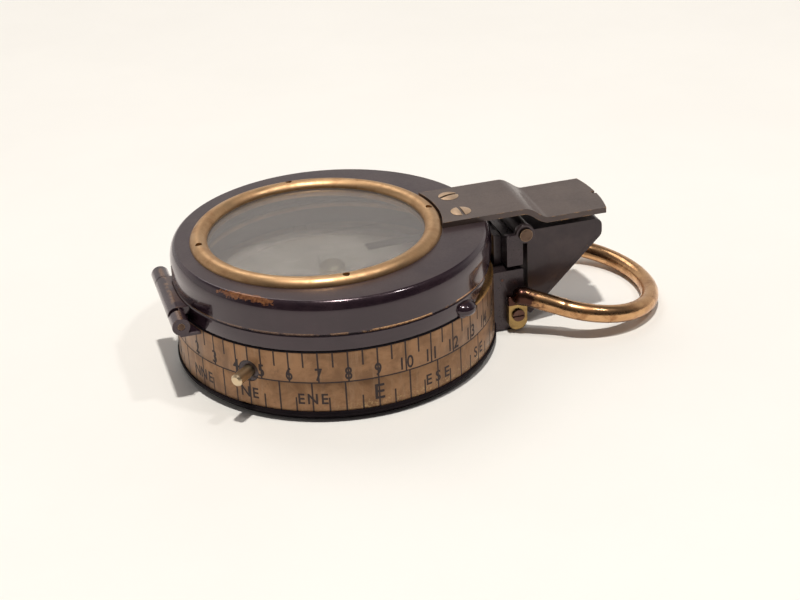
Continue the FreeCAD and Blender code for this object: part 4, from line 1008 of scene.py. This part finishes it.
def dress_nodes():
    """Materials, softened edges and even shading on the CAD nodes that are shown as they are."""
    for name, look in LOOKS.items():
        node = NODES[name]
        node.data.materials.clear()
        node.data.materials.append(MAT[look])
        weld = node.modifiers.new("weld", "WELD")
        weld.merge_threshold = 1e-6
        if name in PLAIN:
            split = node.modifiers.new("split", "EDGE_SPLIT")
            split.split_angle = FACET
        else:
            soften(node, BEVELS.get(name, 0.05), 3, 32)
            node.modifiers.new("even", "WEIGHTED_NORMAL")
        node.data.shade_smooth()


# ---- stage ---------------------------------------------------------------------------

def camera():
    data = bpy.data.cameras.new("camera")
    data.lens = 76.84
    data.sensor_width = 36
    data.clip_start = 0.01
    data.clip_end = 20
    made = bpy.data.objects.new("camera", data)
    bpy.context.scene.collection.objects.link(made)
    azimuth, elevation, roll = (math.radians(a) for a in (-15.18, 27.07, -3.05))
    target = Vector((11.35, -1.12, 6.32))
    back = Vector((math.sin(azimuth) * math.cos(elevation), -math.cos(azimuth) * math.cos(elevation),
                   math.sin(elevation)))
    level = (-back).cross(Vector((0, 0, 1))).normalized()
    above = level.cross(-back).normalized()
    right = level * math.cos(roll) + above * math.sin(roll)
    up = above * math.cos(roll) - level * math.sin(roll)
    spot = (target + back * 298.2) * MM
    made.matrix_world = Matrix((
        (right.x, up.x, back.x, spot.x), (right.y, up.y, back.y, spot.y),
        (right.z, up.z, back.z, spot.z), (0, 0, 0, 1)))
    bpy.context.scene.camera = made


def lamp(name, place, size, power, colour, aim=(10, 0, 8)):
    data = bpy.data.lights.new(name, "AREA")
    data.shape = "DISK"
    data.size = size * MM
    data.energy = power
    data.color = colour
    made = bpy.data.objects.new(name, data)
    bpy.context.scene.collection.objects.link(made)
    made.location = Vector(place) * MM
    made.rotation_euler = (Vector(aim) - Vector(place)).to_track_quat("-Z", "Y").to_euler()


def floor():
    t = Surface("paper_floor")
    soft = t.noise(0.02, 5, 0.6)
    fibre = t.noise(1.6, 6, 0.7)
    colour = t.mix(t.span(soft, 0.3, 0.7), (0.96, 0.945, 0.905), (0.94, 0.925, 0.885))
    MAT["floor"] = t.finish(Base_Color=colour, Roughness=t.span(fibre, 0.3, 0.7, 0.7, 0.85),
                            Specular_IOR_Level=0.2, Normal=t.bump(fibre, 0.08, 0.02))
    size = 3000
    sheet = [(-size, -size, 0), (size, -size, 0), (size, size, 0), (-size, size, 0)]
    made = piece("floor", [(x, y, z - 0.02) for x, y, z in sheet], [(0, 1, 2, 3)], "floor")


def world():
    """A pale backdrop behind the compass, under a dark room."""
    made = bpy.data.worlds.new("world")
    bpy.context.scene.world = made
    made.use_nodes = True
    t = Tree(made.node_tree)
    coords = t.node("ShaderNodeTexCoord")
    parts = t.node("ShaderNodeSeparateXYZ", {"Vector": coords.outputs["Generated"]})
    height = parts.outputs["Z"]
    behind = t.span(parts.outputs["Y"], -0.45, 0.35)
    low = t.span(height, 0.72, 0.42)
    backdrop = t.math("MULTIPLY", behind, low)
    glow = t.math("ADD", t.math("MULTIPLY", backdrop, 0.62), t.span(height, 0.3, 1.0, 0.035, 0.16))
    colour = t.mix(backdrop, (1.0, 0.93, 0.95), (1.0, 0.96, 0.90))
    sky = t.node("ShaderNodeBackground", {"Color": colour, "Strength": glow})
    out = t.node("ShaderNodeOutputWorld")
    t.link(sky.outputs[0], out.inputs["Surface"])


build_case()
build_scale()
build_lid()
build_ring()
build_card_print()
dress_nodes()
camera()
floor()
world()
lamp("overhead", (-10, -190, 1000), 50, 6.9, (1.0, 0.965, 0.91))
lamp("behind", (-120, 600, 800), 520, 1.7, (1.0, 0.965, 0.92))
lamp("right", (480, -280, 1000), 80, 1.6, (1.0, 0.97, 0.95))
scene = bpy.context.scene
scene.view_settings.view_transform = "Standard"
scene.view_settings.look = "None"
